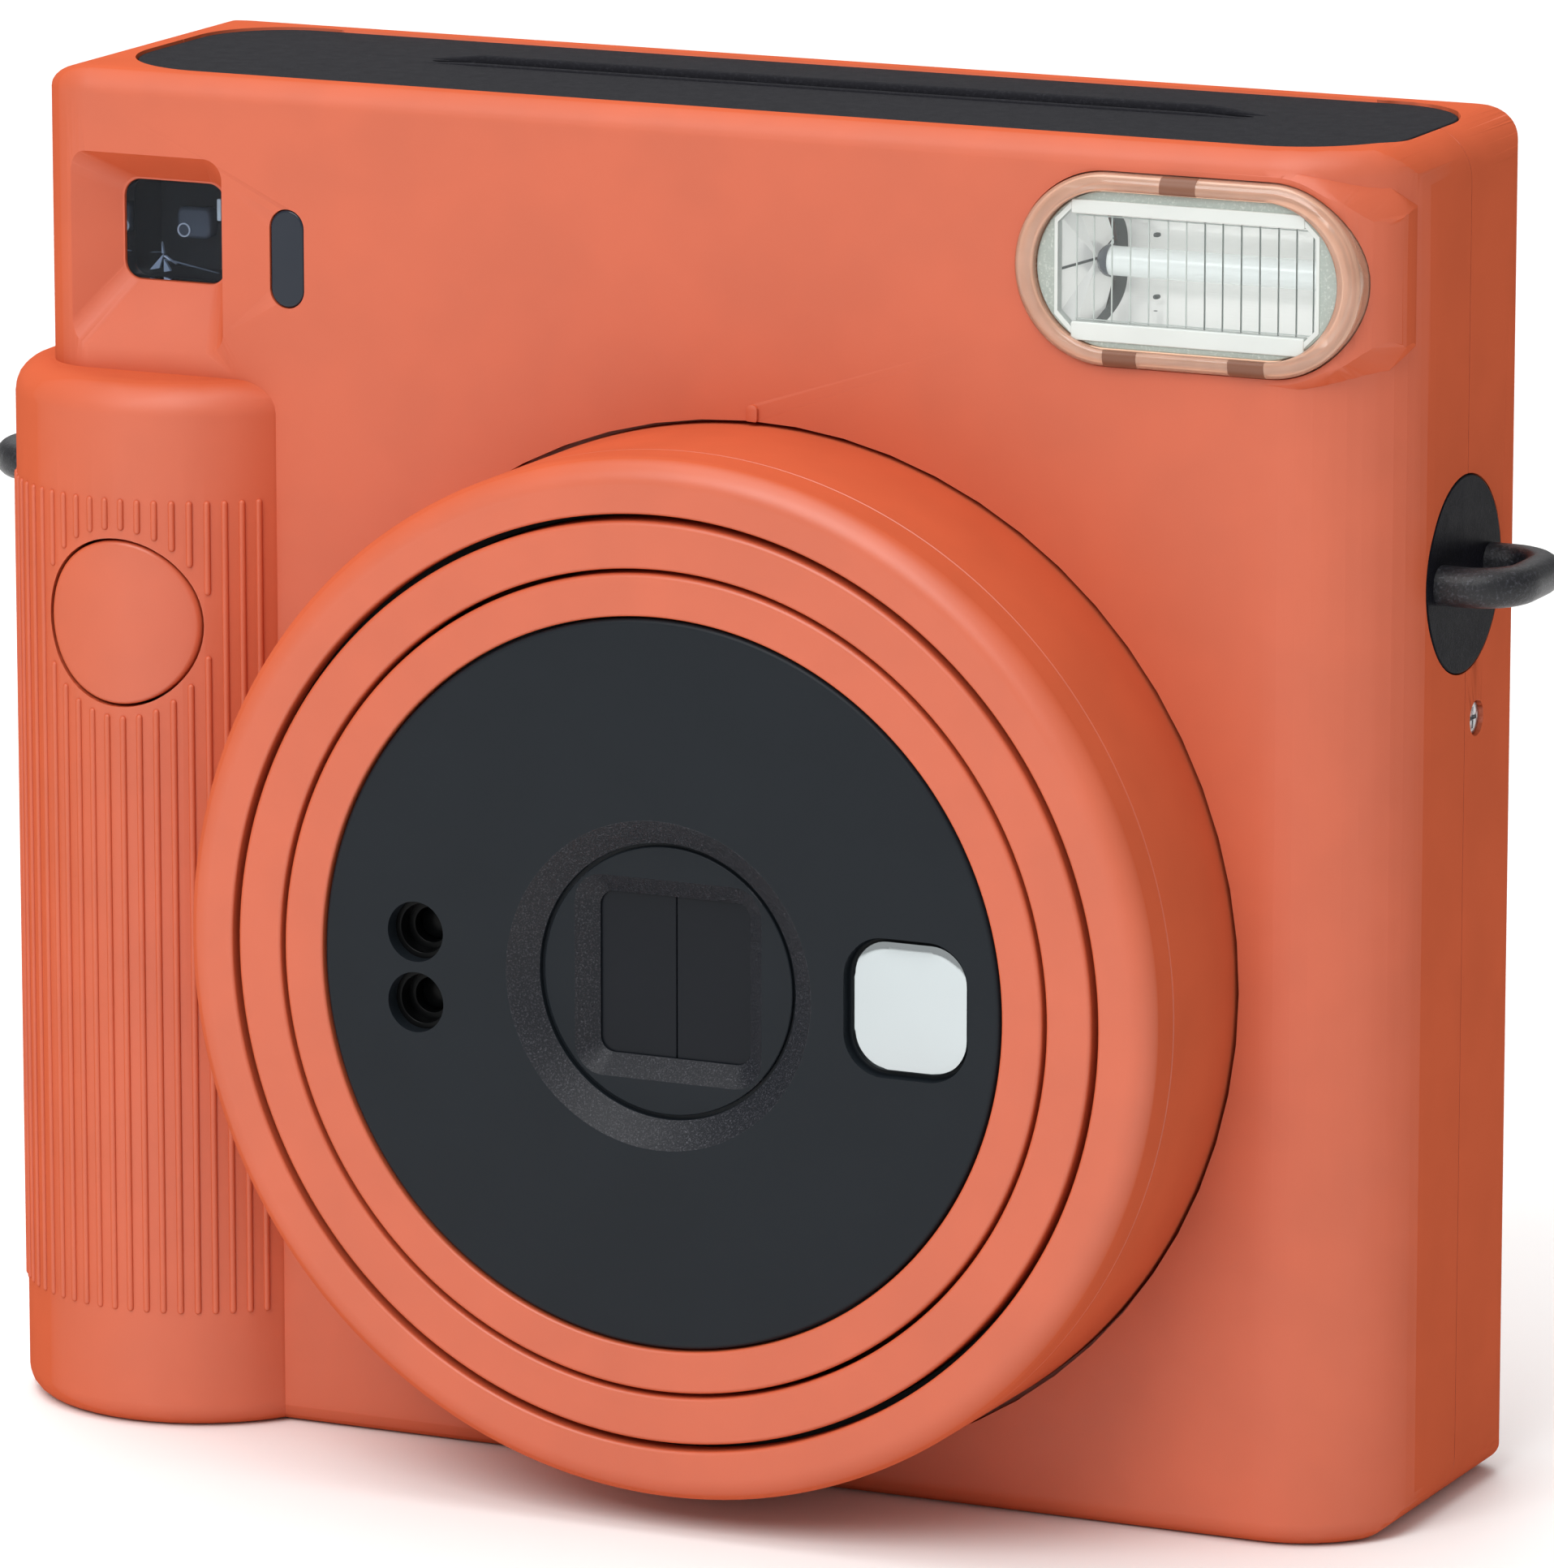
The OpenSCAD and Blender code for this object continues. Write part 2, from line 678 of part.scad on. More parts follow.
// A trough with a parabolic section along X, open to the front, with two end plates
module flash_reflector() color("#cfd6d4") behind_face() {
    half_w = 11.0;
    half_h = 5.4;
    depth = 7.0;
    steps = 12;
    section = [for (i = [-steps : steps]) let (z = half_h * i / steps)
        [0.7 + depth * (1 - pow(z / half_h, 2)), z]];
    outline = concat([[0.6, -half_h - 0.5]], [[0.6, -half_h]], section,
        [[0.6, half_h], [0.6, half_h + 0.5], [depth + 1.3, half_h * 0.45],
        [depth + 1.3, -half_h * 0.45]]);
    difference() {
        union() {
            translate([flash_x - half_w, 0, flash_z]) rotate([90, 0, 90])
                linear_extrude(2 * half_w) polygon(outline);
            for (x = [-half_w - 0.6, half_w]) translate([flash_x + x, 0, flash_z])
                rotate([90, 0, 90]) linear_extrude(0.6) polygon([[0.6, -half_h - 0.5],
                    [0.6, half_h + 0.5], [depth + 1.3, half_h * 0.45], [depth + 1.3, -half_h * 0.45]]);
        }
        along_x(flash_x - 13, flash_x + 13, 4.2, flash_z, 1.4);
    }
}

module flash_tube() color("#f2f4f5") behind_face() {
    along_x(flash_x - 12.6, flash_x + 12.6, 4.2, flash_z, 1.3);
    for (x = [-13.6, 12.6]) along_x(flash_x + x, flash_x + x + 1.0, 4.2, flash_z, 1.0);
}

module flash_capacitor() color("#1d2530") behind_face()
    translate([57.4, 12.5, 22]) cylinder(r = 5.5, h = 36);

module trigger_coil() color("#6d4a2a") behind_face()
    box(53.5, 60, 8, 13, 62, 70);

module main_board() color("#2f6b45") behind_face() {
    box(-26, 28, 6.6, 7.8, 96.4, 113.6);
    box(-18, -8, 7.8, 9.0, 100, 110);
    box(6, 13, 7.8, 8.8, 99, 106);
    for (x = [-3, 1, 17, 21]) box(x, x + 2, 7.8, 8.8, 101, 104);
    for (x = [-22, 24]) translate([x, 7.8, 108]) rotate([-90, 0, 0]) cylinder(r = 2, h = 3.4);
}

// ---------- viewfinder ----------

module finder_outline(cut) {
    rounded_rect(finder_x - finder_w / 2 + cut, finder_x + finder_w / 2 - cut,
        finder_z - finder_h / 2 + cut, finder_z + finder_h / 2 - cut, 1.4);
}

module viewfinder_lens() color("#1c2229") behind_face()
    front_plate(recess_d + 0.15, recess_d + 1.5) finder_outline(0.08);

module viewfinder_tunnel() color(black) behind_face() difference() {
    front_plate(recess_d + 1.7, 30.4) finder_outline(-1.3);
    front_plate(recess_d + 1, 31) finder_outline(0.1);
}

module eyepiece_frame() color(black) behind_face() difference() {
    union() {
        front_plate(30.6, shell_d + 0.1)
            rounded_rect(finder_x - 5.3, finder_x + 5.3, finder_z - 4.9, finder_z + 4.9, 1.7);
        front_plate(shell_d + 0.1, 38.8)
            rounded_rect(finder_x - 6.8, finder_x + 6.8, finder_z - 6.4, finder_z + 6.4, 3);
        front_plate(38.8, total_d - ring_proud)
            rounded_rect(finder_x - 6.3, finder_x + 6.3, finder_z - 5.9, finder_z + 5.9, 2.6);
    }
    front_plate(30, 40) rounded_rect(finder_x - 4, finder_x + 4, finder_z - 3.6, finder_z + 3.6, 1.4);
}

module eyepiece_lens() color("#1c2229") behind_face()
    front_plate(36, 37.6)
        rounded_rect(finder_x - 3.95, finder_x + 3.95, finder_z - 3.55, finder_z + 3.55, 1.35);

module light_sensor_window() color("#3a4047") behind_face()
    front_plate(0.05, wall) translate([pill_x, pill_z]) rotate(90)
        stadium(pill_h - 0.1, pill_w - 0.1);

// ---------- film path ----------

module light_tunnel() color(black) behind_face() difference() {
    hull() {
        front_plate(7.0, 7.1) square_around(17.2);
        front_plate(gate_y - 0.2, gate_y - 0.1) square_around(33.2);
    }
    hull() {
        front_plate(6.9, 7.0) square_around(15.8);
        front_plate(gate_y - 0.1, gate_y) square_around(32);
    }
}

module square_around(half) {
    translate([lens_x - half, lens_z - half]) square(2 * half);
}

module film_gate() color(black) behind_face() difference() {
    box(opening_x0 + 0.4, opening_x1 - 0.2, gate_y, 18.0, opening_z0 + 0.6, 104);
    front_plate(gate_y - 1, 19) square_around(32);
}

// Three walls around the film pack, open at the top and to the rear
module film_chamber() color(black) behind_face() difference() {
    box(opening_x0 + 0.4, opening_x1 - 0.2, 18.0, 31.4, opening_z0 + 0.6, 104);
    box(lens_x - pack_w / 2 - 0.1, lens_x + pack_w / 2 + 0.1, 17, 32, pack_z - 0.1, 106);
}

module film_pack() color("#1a1b1d") behind_face() difference() {
    box(lens_x - pack_w / 2, lens_x + pack_w / 2, pack_y, pack_y + pack_t, pack_z, pack_z + pack_h);
    front_plate(pack_y - 1, pack_y + 0.6) square_around(31);
    // window and two openings for the pressure springs at the back
    box(lens_x - 8, lens_x + 8, pack_y + pack_t - 0.8, pack_y + pack_t + 1, 40, 72);
    // slot that the picture leaves by
    box(lens_x - 36.5, lens_x + 36.5, pack_y + 0.4, pack_y + 1.4, 100, pack_z + pack_h + 1);
}

module roller_frame() color(grey) behind_face() {
    difference() {
        union() {
            for (x = [roller_left - 2.1, roller_right + 0.1])
                box(x, x + 2, 11.2, 26, 104.9, 114.9);
            box(roller_left - 0.1, roller_right + 0.1, 11.2, 12.2, 112.9, 114.9);
        }
        for (y = [front_roller_y, rear_roller_y])
            along_x(roller_left - 5, roller_right + 5, y, roller_z, 1.25);
    }
}

module roller(y) {
    along_x(roller_left + 0.1, roller_right - 0.1, y, roller_z, roller_r);
    along_x(roller_left - 2.4, roller_left + 0.1, y, roller_z, 1.2);
    along_x(roller_right - 0.1, gear_x + gear_t + 0.2, y, roller_z, 1.2);
}

module front_roller() color("#b9bec2") behind_face() roller(front_roller_y);
module rear_roller() color("#b9bec2") behind_face() roller(rear_roller_y);

module front_roller_gear() color("#e8e4d8") behind_face()
    gear_along_x(roller_teeth, 1.21, front_roller_y, roller_z, 0);

module rear_roller_gear() color("#e8e4d8") behind_face()
    gear_along_x(roller_teeth, 1.21, rear_roller_y, roller_z, 180 / roller_teeth);

module idler_gear() color("#e8e4d8") behind_face()
    gear_along_x(idler_teeth, 1.05, front_roller_y, idler_z, 180 / idler_teeth);

module motor_pinion() color("#c9a34a") behind_face() {
    gear_along_x(pinion_teeth, 0.76, front_roller_y, pinion_z, 0);
    along_x(gear_x - 0.2, gear_x + gear_t + 1.2, front_roller_y, pinion_z, 0.75);
}

module film_motor() color(grey) behind_face() {
    plate_x = gear_x + gear_t + 0.3;
    difference() {
        box(plate_x, plate_x + 0.9, 10, 21.6, 84, 103);
        along_x(plate_x - 1, plate_x + 2, front_roller_y, pinion_z, 0.85);
    }
    along_x(plate_x - gear_t - 0.3, plate_x, front_roller_y, idler_z, 1.0);
    along_x(plate_x + 0.9, 62.0, front_roller_y, pinion_z, 5.7);
}

// ---------- film door ----------

module opening_ring(y0, y1, outer, inner) {
    front_plate(y0, y1) difference() {
        rounded_rect(opening_x0 + outer, opening_x1 - outer, opening_z0 + outer, opening_z1 - outer, 2);
        rounded_rect(opening_x0 + inner, opening_x1 - inner, opening_z0 + inner, opening_z1 - inner, 1.5);
    }
}

module film_door() color(orange) behind_face() {
    difference() {
        union() {
            hull() {
                front_plate(door_in, door_out - 1.6)
                    rounded_rect(door_x0, door_x1, door_z0, door_z1, 5);
                front_plate(door_out - 0.1, door_out)
                    rounded_rect(door_x0 + 1.2, door_x1 - 1.2, door_z0 + 1.2, door_z1 - 1.2, 4.4);
            }
            opening_ring(31.7, door_in, 0.4, 1.6);
            for (k = [1, 3]) {
                box(door_x1 - 2, hinge_x, 34.2, 36.0, knuckles[k], knuckles[k] + knuckle_h);
                translate([hinge_x, hinge_y, knuckles[k]]) cylinder(r = hinge_r, h = knuckle_h);
            }
        }
        for (k = [1, 3]) translate([hinge_x, hinge_y, knuckles[k] - eps])
            cylinder(r = hinge_pin_r + 0.02, h = knuckle_h + 2 * eps);
        front_plate(door_in - eps, door_out + eps)
            rounded_rect(lens_x - 6, lens_x + 6, 44, 68, 2);
        // the eyepiece stands in this corner
        box(door_x0 - 1, finder_x + 7.1, door_in - 1, door_out + 1, finder_z - 8, door_z1 + 1);
    }
}

module door_window() color("#c9b23a") behind_face()
    front_plate(door_in + 0.2, door_out - 0.6) rounded_rect(lens_x - 5.95, lens_x + 5.95, 44.05, 67.95, 1.95);

module door_springs() color("#c4c8cb") behind_face() {
    for (x = [lens_x - 24, lens_x + 14]) {
        box(x, x + 10, pack_y + pack_t + 0.1, pack_y + pack_t + 0.4, 34, 78);
        for (z = [36, 72]) box(x + 3, x + 7, pack_y + pack_t + 0.4, door_in, z, z + 4);
    }
}

module door_seal() color("#141416") behind_face() opening_ring(32.4, door_in, 1.65, 2.9);

module hinge_pin() color(grey) behind_face()
    translate([hinge_x, hinge_y, knuckles[0] - 0.8])
        cylinder(r = hinge_pin_r, h = knuckles[4] + knuckle_h - knuckles[0] + 1.6);

module door_latch() color(black) behind_face() {
    difference() {
        front_plate(shell_d + 0.1, shell_d + 2.2)
            rounded_rect(latch_x - 5.6, door_x0 - 0.2, latch_z - 8, latch_z + 8, 1.2);
        for (z = [-5 : 2.5 : 5]) box(latch_x - 4.6, latch_x + 3.6, shell_d + 1.8, shell_d + 3,
            latch_z + z - 0.5, latch_z + z + 0.5);
    }
    box(latch_x - 1.5, latch_x + 1.3, 31.45, shell_d + 0.1, latch_z - 4.9, latch_z + 4.9);
    box(latch_x - 4.8, latch_x + 4.4, 30.5, 31.45, latch_z - 7, latch_z + 7);
}

// ---------- batteries ----------

module battery_holder() color(black) behind_face() difference() {
    box(-62.7, cell_x + 9.2, 5.2, 23.2, 6.2, 64.6);
    translate([cell_x, cell_y, 7.0]) cylinder(r = cell_d / 2 + 0.12, h = 56.6);
    box(-63.5, cell_x, cell_y - cell_d / 2 - 0.12, cell_y + cell_d / 2 + 0.12, 7.0, 63.6);
}

module battery_cell(z) {
    translate([cell_x, cell_y, z]) {
        cylinder(r = cell_d / 2, h = cell_l - 0.8);
        translate([0, 0, cell_l - 0.8]) cylinder(r = 3, h = 0.8);
    }
}

module lower_battery() color("#3b4652") behind_face() battery_cell(cell_z);
module upper_battery() color("#3b4652") behind_face() battery_cell(cell_z + cell_l);

module battery_contacts() color("#c9ccce") behind_face() {
    translate([cell_x, cell_y, 7.02]) cylinder(r1 = 5.5, r2 = 3.4, h = 0.96);
    translate([cell_x, cell_y, cell_z + 2 * cell_l + 0.02]) cylinder(r = 4.5, h = 0.6);
    box(cell_x - 1.5, cell_x + 1.5, cell_y - 1.5, cell_y + 1.5,
        cell_z + 2 * cell_l + 0.6, cell_z + 2 * cell_l + 1.55);
}

module battery_door() color(orange) behind_face() {
    intersection() {
        difference() {
            grip_form(0, 0, grip_h, edge_r, grip_fillet);
            grip_form(wall, wall, grip_h - wall, 0.3, 0.3);
        }
        difference() {
            box(left_x - 1, left_x + wall + 0.5, battery_y0 + 0.28, battery_y1 - 0.2,
                battery_z0 + 0.2, battery_z1 - 0.2);
            for (z = [battery_z0 + 1.8, battery_z1 - 10.2]) translate([left_x - 0.3, battery_hinge_y, z])
                cylinder(r = 1.5, h = 8.4);
        }
    }
    battery_knuckles(1);
}

module battery_door_pin() color(grey) behind_face()
    translate([left_x - 0.3, battery_hinge_y, battery_z0 + 2.2])
        cylinder(r = 0.6, h = battery_z1 - battery_z0 - 4.4);

front_cover();
rear_cover();
top_panel();
lug_left();
lug_right();
cover_screws();
guide_sleeve();
light_tunnel();
film_gate();
film_chamber();
film_pack();
flash_bezel();
flash_window();
flash_reflector();
flash_tube();
flash_capacitor();
trigger_coil();
main_board();
viewfinder_lens();
viewfinder_tunnel();
eyepiece_frame();
eyepiece_lens();
light_sensor_window();
battery_holder();
battery_contacts();
upper_battery();
lower_battery();
battery_door();
battery_door_pin();
lens_dial();
outer_barrel();
cam_pins();
inner_barrel();
face_disc();
selfie_mirror();
sensor_lenses();
barrier_left();
barrier_right();
lens_mount();
front_lens();
rear_lens();
shutter_block();
shutter_button();
shutter_switch();
roller_frame();
front_roller();
front_roller_gear();
rear_roller();
rear_roller_gear();
idler_gear();
motor_pinion();
film_motor();
film_door();
door_window();
door_springs();
door_seal();
hinge_pin();
door_latch();
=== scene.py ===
"""Looks of the instant camera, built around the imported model.

Meshes are drawn in millimetres. X and Z are the frame's own, and Y is the depth behind the
front face of the shell, so the lens ring lies at negative Y. place() turns them into metres.
"""
import math

import bmesh
import bpy
from mathutils import Matrix, Vector


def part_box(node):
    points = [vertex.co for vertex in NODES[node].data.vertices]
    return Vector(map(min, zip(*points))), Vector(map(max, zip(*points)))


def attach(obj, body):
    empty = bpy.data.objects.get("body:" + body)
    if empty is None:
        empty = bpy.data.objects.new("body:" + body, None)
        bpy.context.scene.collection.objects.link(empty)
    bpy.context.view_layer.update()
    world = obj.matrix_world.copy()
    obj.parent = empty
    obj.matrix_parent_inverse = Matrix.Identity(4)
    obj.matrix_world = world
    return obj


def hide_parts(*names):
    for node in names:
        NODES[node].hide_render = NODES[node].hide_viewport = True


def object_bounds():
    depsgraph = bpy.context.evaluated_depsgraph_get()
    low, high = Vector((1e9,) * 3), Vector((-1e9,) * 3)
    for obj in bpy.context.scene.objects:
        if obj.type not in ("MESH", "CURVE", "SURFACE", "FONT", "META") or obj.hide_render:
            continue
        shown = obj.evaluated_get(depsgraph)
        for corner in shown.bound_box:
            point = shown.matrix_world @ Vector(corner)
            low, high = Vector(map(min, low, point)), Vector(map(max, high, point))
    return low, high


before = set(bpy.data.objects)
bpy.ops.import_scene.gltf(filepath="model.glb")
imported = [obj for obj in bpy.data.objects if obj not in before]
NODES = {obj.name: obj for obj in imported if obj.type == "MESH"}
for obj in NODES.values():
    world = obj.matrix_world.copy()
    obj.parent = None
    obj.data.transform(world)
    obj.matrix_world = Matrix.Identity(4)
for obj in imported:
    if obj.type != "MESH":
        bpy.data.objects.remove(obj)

cad_low, cad_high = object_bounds()

MM = 0.001

# ---- places taken from the frame, in millimetres ----


def node_box(name):
    """A node's low and high corner in millimetres."""
    low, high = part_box(name)
    return low / MM, high / MM


def node_centre(name):
    low, high = node_box(name)
    return (low + high) / 2


RING_PROUD = 18.2
DIAL_LOW, DIAL_HIGH = node_box("lens_dial")
FACE_Y = DIAL_LOW.y + RING_PROUD


def node_depths(name):
    """Depths of a node's front and back behind the shell's front face."""
    low, high = node_box(name)
    return low.y - FACE_Y, high.y - FACE_Y


LENS_X = (DIAL_LOW.x + DIAL_HIGH.x) / 2
LENS_Z = (DIAL_LOW.z + DIAL_HIGH.z) / 2
SHELL_LOW, SHELL_HIGH = node_box("front_cover")
LEFT_X, RIGHT_X = SHELL_LOW.x, SHELL_HIGH.x
FLASH = node_centre("flash_window")
BUTTON = node_centre("shutter_button")
CORNER_R = 11.0
GRIP_R = 15.7
GRIP_X = LEFT_X + GRIP_R
GRIP_Y = 9.3

# ---- mesh helpers ----


def place(mesh):
    """Turns a mesh drawn in millimetres of depth into the frame's metres."""
    mesh.transform(Matrix.Scale(MM, 4) @ Matrix.Translation((0, FACE_Y, 0)))


def smooth_by_angle(piece, degrees=35):
    for polygon in piece.data.polygons:
        polygon.use_smooth = True
    piece.data.set_sharp_from_angle(angle=math.radians(degrees))


def new_object(name, data):
    made = bpy.data.objects.new(name, data)
    bpy.context.scene.collection.objects.link(made)
    return made


def piece_from(name, verts, faces, angle=35):
    mesh = bpy.data.meshes.new(name)
    mesh.from_pydata(verts, [], faces)
    mesh.validate()
    tidy = bmesh.new()
    tidy.from_mesh(mesh)
    bmesh.ops.remove_doubles(tidy, verts=tidy.verts, dist=1e-4)
    bmesh.ops.recalc_face_normals(tidy, faces=tidy.faces)
    tidy.to_mesh(mesh)
    tidy.free()
    piece = new_object(name, mesh)
    smooth_by_angle(piece, angle)
    return piece


def rounded(points, radii, steps=5):
    """A closed outline with each corner replaced by an arc of its own radius (0 keeps it sharp)."""
    out = []
    count = len(points)
    for i, point in enumerate(points):
        here = Vector(point)
        before = (Vector(points[i - 1]) - here).normalized()
        after = (Vector(points[(i + 1) % count]) - here).normalized()
        radius = radii[i] if isinstance(radii, (list, tuple)) else radii
        if radius <= 0:
            out.append(tuple(here))
            continue
        half = before.angle(after) / 2
        reach = radius / math.tan(half)
        middle = here + (before + after).normalized() * (radius / math.sin(half))
        start = here + before * reach - middle
        end = here + after * reach - middle
        sweep = math.atan2(start.x * end.y - start.y * end.x, start.dot(end))
        for k in range(steps + 1):
            turn = Matrix.Rotation(sweep * k / steps, 2)
            out.append(tuple(middle + turn @ start))
    return out


def lathe(name, profile, centre=None, segments=192):
    """Turns a closed outline of (radius, depth) points about an axis along Y."""
    x0, z0 = centre or (LENS_X, LENS_Z)
    verts = []
    for k in range(segments):
        a = 2 * math.pi * k / segments
        verts += [(x0 + r * math.cos(a), y, z0 + r * math.sin(a)) for r, y in profile]
    n = len(profile)
    faces = []
    for k in range(segments):
        j = (k + 1) % segments
        faces += [(k * n + i, k * n + (i + 1) % n, j * n + (i + 1) % n, j * n + i) for i in range(n)]
    return piece_from(name, verts, faces)


def rounded_rect(x0, x1, z0, z1, radius, steps=8):
    return rounded([(x0, z0), (x1, z0), (x1, z1), (x0, z1)], radius, steps)


def box_outline(low, high, radius, steps=8, shrink=1):
    """The front outline of a box, as a function of its inset. With shrink=0 its corners keep
    their radius."""
    return lambda inset: rounded_rect(low.x + inset, high.x - inset, low.z + inset,
                                      high.z - inset, radius - shrink * inset, steps)


def centred_box(centre, half_x, half_z):
    """Low and high corners of a front outline round a centre."""
    reach = Vector((half_x, 0, half_z))
    return centre - reach, centre + reach


def stadium(x, z, width, height, steps=24):
    return rounded_rect(x - width / 2, x + width / 2, z - height / 2, z + height / 2,
                        min(width, height) / 2 - 0.001, steps)


def skin(name, rings, angle=35, closed=False):
    """Skins a stack of rings of points, all with the same count. A closed stack makes a frame."""
    verts = [point for ring in rings for point in ring]
    n = len(rings[0])
    faces = []
    for b in range(len(rings) if closed else len(rings) - 1):
        c = (b + 1) % len(rings)
        faces += [(b * n + i, b * n + (i + 1) % n, c * n + (i + 1) % n, c * n + i) for i in range(n)]
    if not closed:
        faces.append(tuple(range(n)))
        faces.append(tuple(range((len(rings) - 1) * n, len(rings) * n)))
    return piece_from(name, verts, faces, angle)


VIEWS = {
    "front": lambda a, b, level: (a, level, b),
    "top": lambda a, b, level: (a, b, level),
    "side": lambda a, b, level: (level, a, b),
}


def loft(name, rings, angle=35, closed=False, view="front"):
    """Skins (outline, level) rings: outlines lie in the view's plane, levels go into it."""
    turn = VIEWS[view]
    return skin(name, [[turn(a, b, level) for a, b in outline] for outline, level in rings],
                angle, closed)


def quarter(steps):
    """Angles from 0 to a right angle."""
    return [math.pi / 2 * k / steps for k in range(steps + 1)]


def edge_steps(radius):
    """(inset, rise) pairs round a quarter edge, from the flat face to the side."""
    return [(radius * (1 - math.sin(a)), radius * (1 - math.cos(a))) for a in quarter(4)]


def plate(name, outline_at, face, back, face_edge=0.2, back_edge=0.0, view="front"):
    """A plate whose outline is outline_at(inset), from its visible face to its back."""
    way = 1 if back > face else -1
    rings = [(outline_at(inset), face + way * rise) for inset, rise in edge_steps(face_edge)]
    if back_edge > 0:
        rings += [(outline_at(inset), back - way * rise)
                  for inset, rise in reversed(edge_steps(back_edge))]
    else:
        rings.append((outline_at(0), back))
    return loft(name, rings, view=view)


def ring_frame(name, outer_at, inner_at, face, back, outer_edge, inner_edge):
    """A frame between two outlines, with the edges of its visible face rounded."""
    way = 1 if back > face else -1
    rings = [(outer_at(0), back)]
    rings += [(outer_at(inset), face + way * rise)
              for inset, rise in reversed(edge_steps(outer_edge))]
    rings += [(inner_at(-inset), face + way * rise) for inset, rise in edge_steps(inner_edge)]
    rings.append((inner_at(0), back))
    return loft(name, rings, closed=True)


def slab(name, x, y, z, edge=0.1):
    """A block between (low, high) pairs, with all of its edges softened."""
    def outline(inset):
        return rounded_rect(x[0] + inset, x[1] - inset, z[0] + inset, z[1] - inset,
                            max(edge - inset, 0.01) + 0.05, 3)
    return plate(name, outline, y[0], y[1], edge, edge)


def sweep(name, path, section, angle=35):
    """Carries a closed (side, up) section along a path that keeps near one height."""
    rings = []
    for i, point in enumerate(path):
        here = Vector(point)
        ahead = Vector(path[min(i + 1, len(path) - 1)]) - Vector(path[max(i - 1, 0)])
        side = ahead.normalized().cross(Vector((0, 0, 1))).normalized()
        rings.append([tuple(here + side * s + Vector((0, 0, u))) for s, u in section])
    return skin(name, rings, angle)


def oval(width, height, count=24, power=2.0):
    """An ellipse, or with a higher power a squarer one."""
    out = []
    for k in range(count):
        c, s = math.cos(2 * math.pi * k / count), math.sin(2 * math.pi * k / count)
        out.append((math.copysign(abs(c) ** (2 / power), c) * width / 2,
                    math.copysign(abs(s) ** (2 / power), s) * height / 2))
    return out


def cut(piece, *cutters):
    """Cuts other pieces out of a piece and bakes the result into its mesh."""
    for cutter in cutters:
        boolean = piece.modifiers.new("cut", "BOOLEAN")
        boolean.operation = "DIFFERENCE"
        boolean.solver = "EXACT"
        boolean.object = cutter
    bpy.context.view_layer.update()
    graph = bpy.context.evaluated_depsgraph_get()
    graph.update()
    mesh = bpy.data.meshes.new_from_object(piece.evaluated_get(graph))
    piece.modifiers.clear()
    piece.data = mesh
    for cutter in cutters:
        bpy.data.objects.remove(cutter)


def join(name, pieces):
    """Joins pieces of one material into one object."""
    work = bmesh.new()
    for piece in pieces:
        work.from_mesh(piece.data)
        bpy.data.objects.remove(piece)
    mesh = bpy.data.meshes.new(name)
    work.to_mesh(mesh)
    work.free()
    whole = new_object(name, mesh)
    smooth_by_angle(whole)
    return whole


def soften(piece, width, degrees=32):
    """Rounds the sharp edges of a placed piece by a small bevel, in millimetres."""
    bevel = piece.modifiers.new("soft_edges", "BEVEL")
    bevel.width = width * MM
    bevel.segments = 2
    bevel.limit_method = "ANGLE"
    bevel.angle_limit = math.radians(degrees)
    bevel.harden_normals = True
    bevel.miter_outer = "MITER_ARC"


def even_shading(piece):
    """Lets the large faces set the normals, so that softened edges leave them flat."""
    weighted = piece.modifiers.new("weighted_normals", "WEIGHTED_NORMAL")
    weighted.keep_sharp = True


def finish_piece(piece, look, slot, *nodes, body="camera_body", bevel_mm=0.0):
    """Places a piece drawn in millimetres and gives it its look or looks and its body. The slot
    argument is not used.
    """
    place(piece.data)
    for name in look if isinstance(look, list) else [look]:
        piece.data.materials.append(looks[name])
    if bevel_mm > 0:
        soften(piece, bevel_mm, degrees=40)
    even_shading(piece)
    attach(piece, body)
    if nodes:
        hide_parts(*nodes)


def paint_faces(piece, test):
    """Gives the faces whose centre and normal pass a test the second of two materials."""
    for polygon in piece.data.polygons:
        polygon.material_index = int(test(polygon.center, polygon.normal))


# ---- materials ----


def srgb(red, green, blue):
    """A colour given in 0 to 255 steps, as the renderer's linear values."""
    def linear(step):
        c = step / 255
        return c / 12.92 if c <= 0.04045 else ((c + 0.055) / 1.055) ** 2.4
    return (linear(red), linear(green), linear(blue), 1.0)


def add_node(tree, kind, inputs=None, **values):
    made = tree.nodes.new("ShaderNode" + kind)
    for key, value in values.items():
        setattr(made, key, value)
    for socket, value in (inputs or {}).items():
        made.inputs[socket].default_value = value
    return made


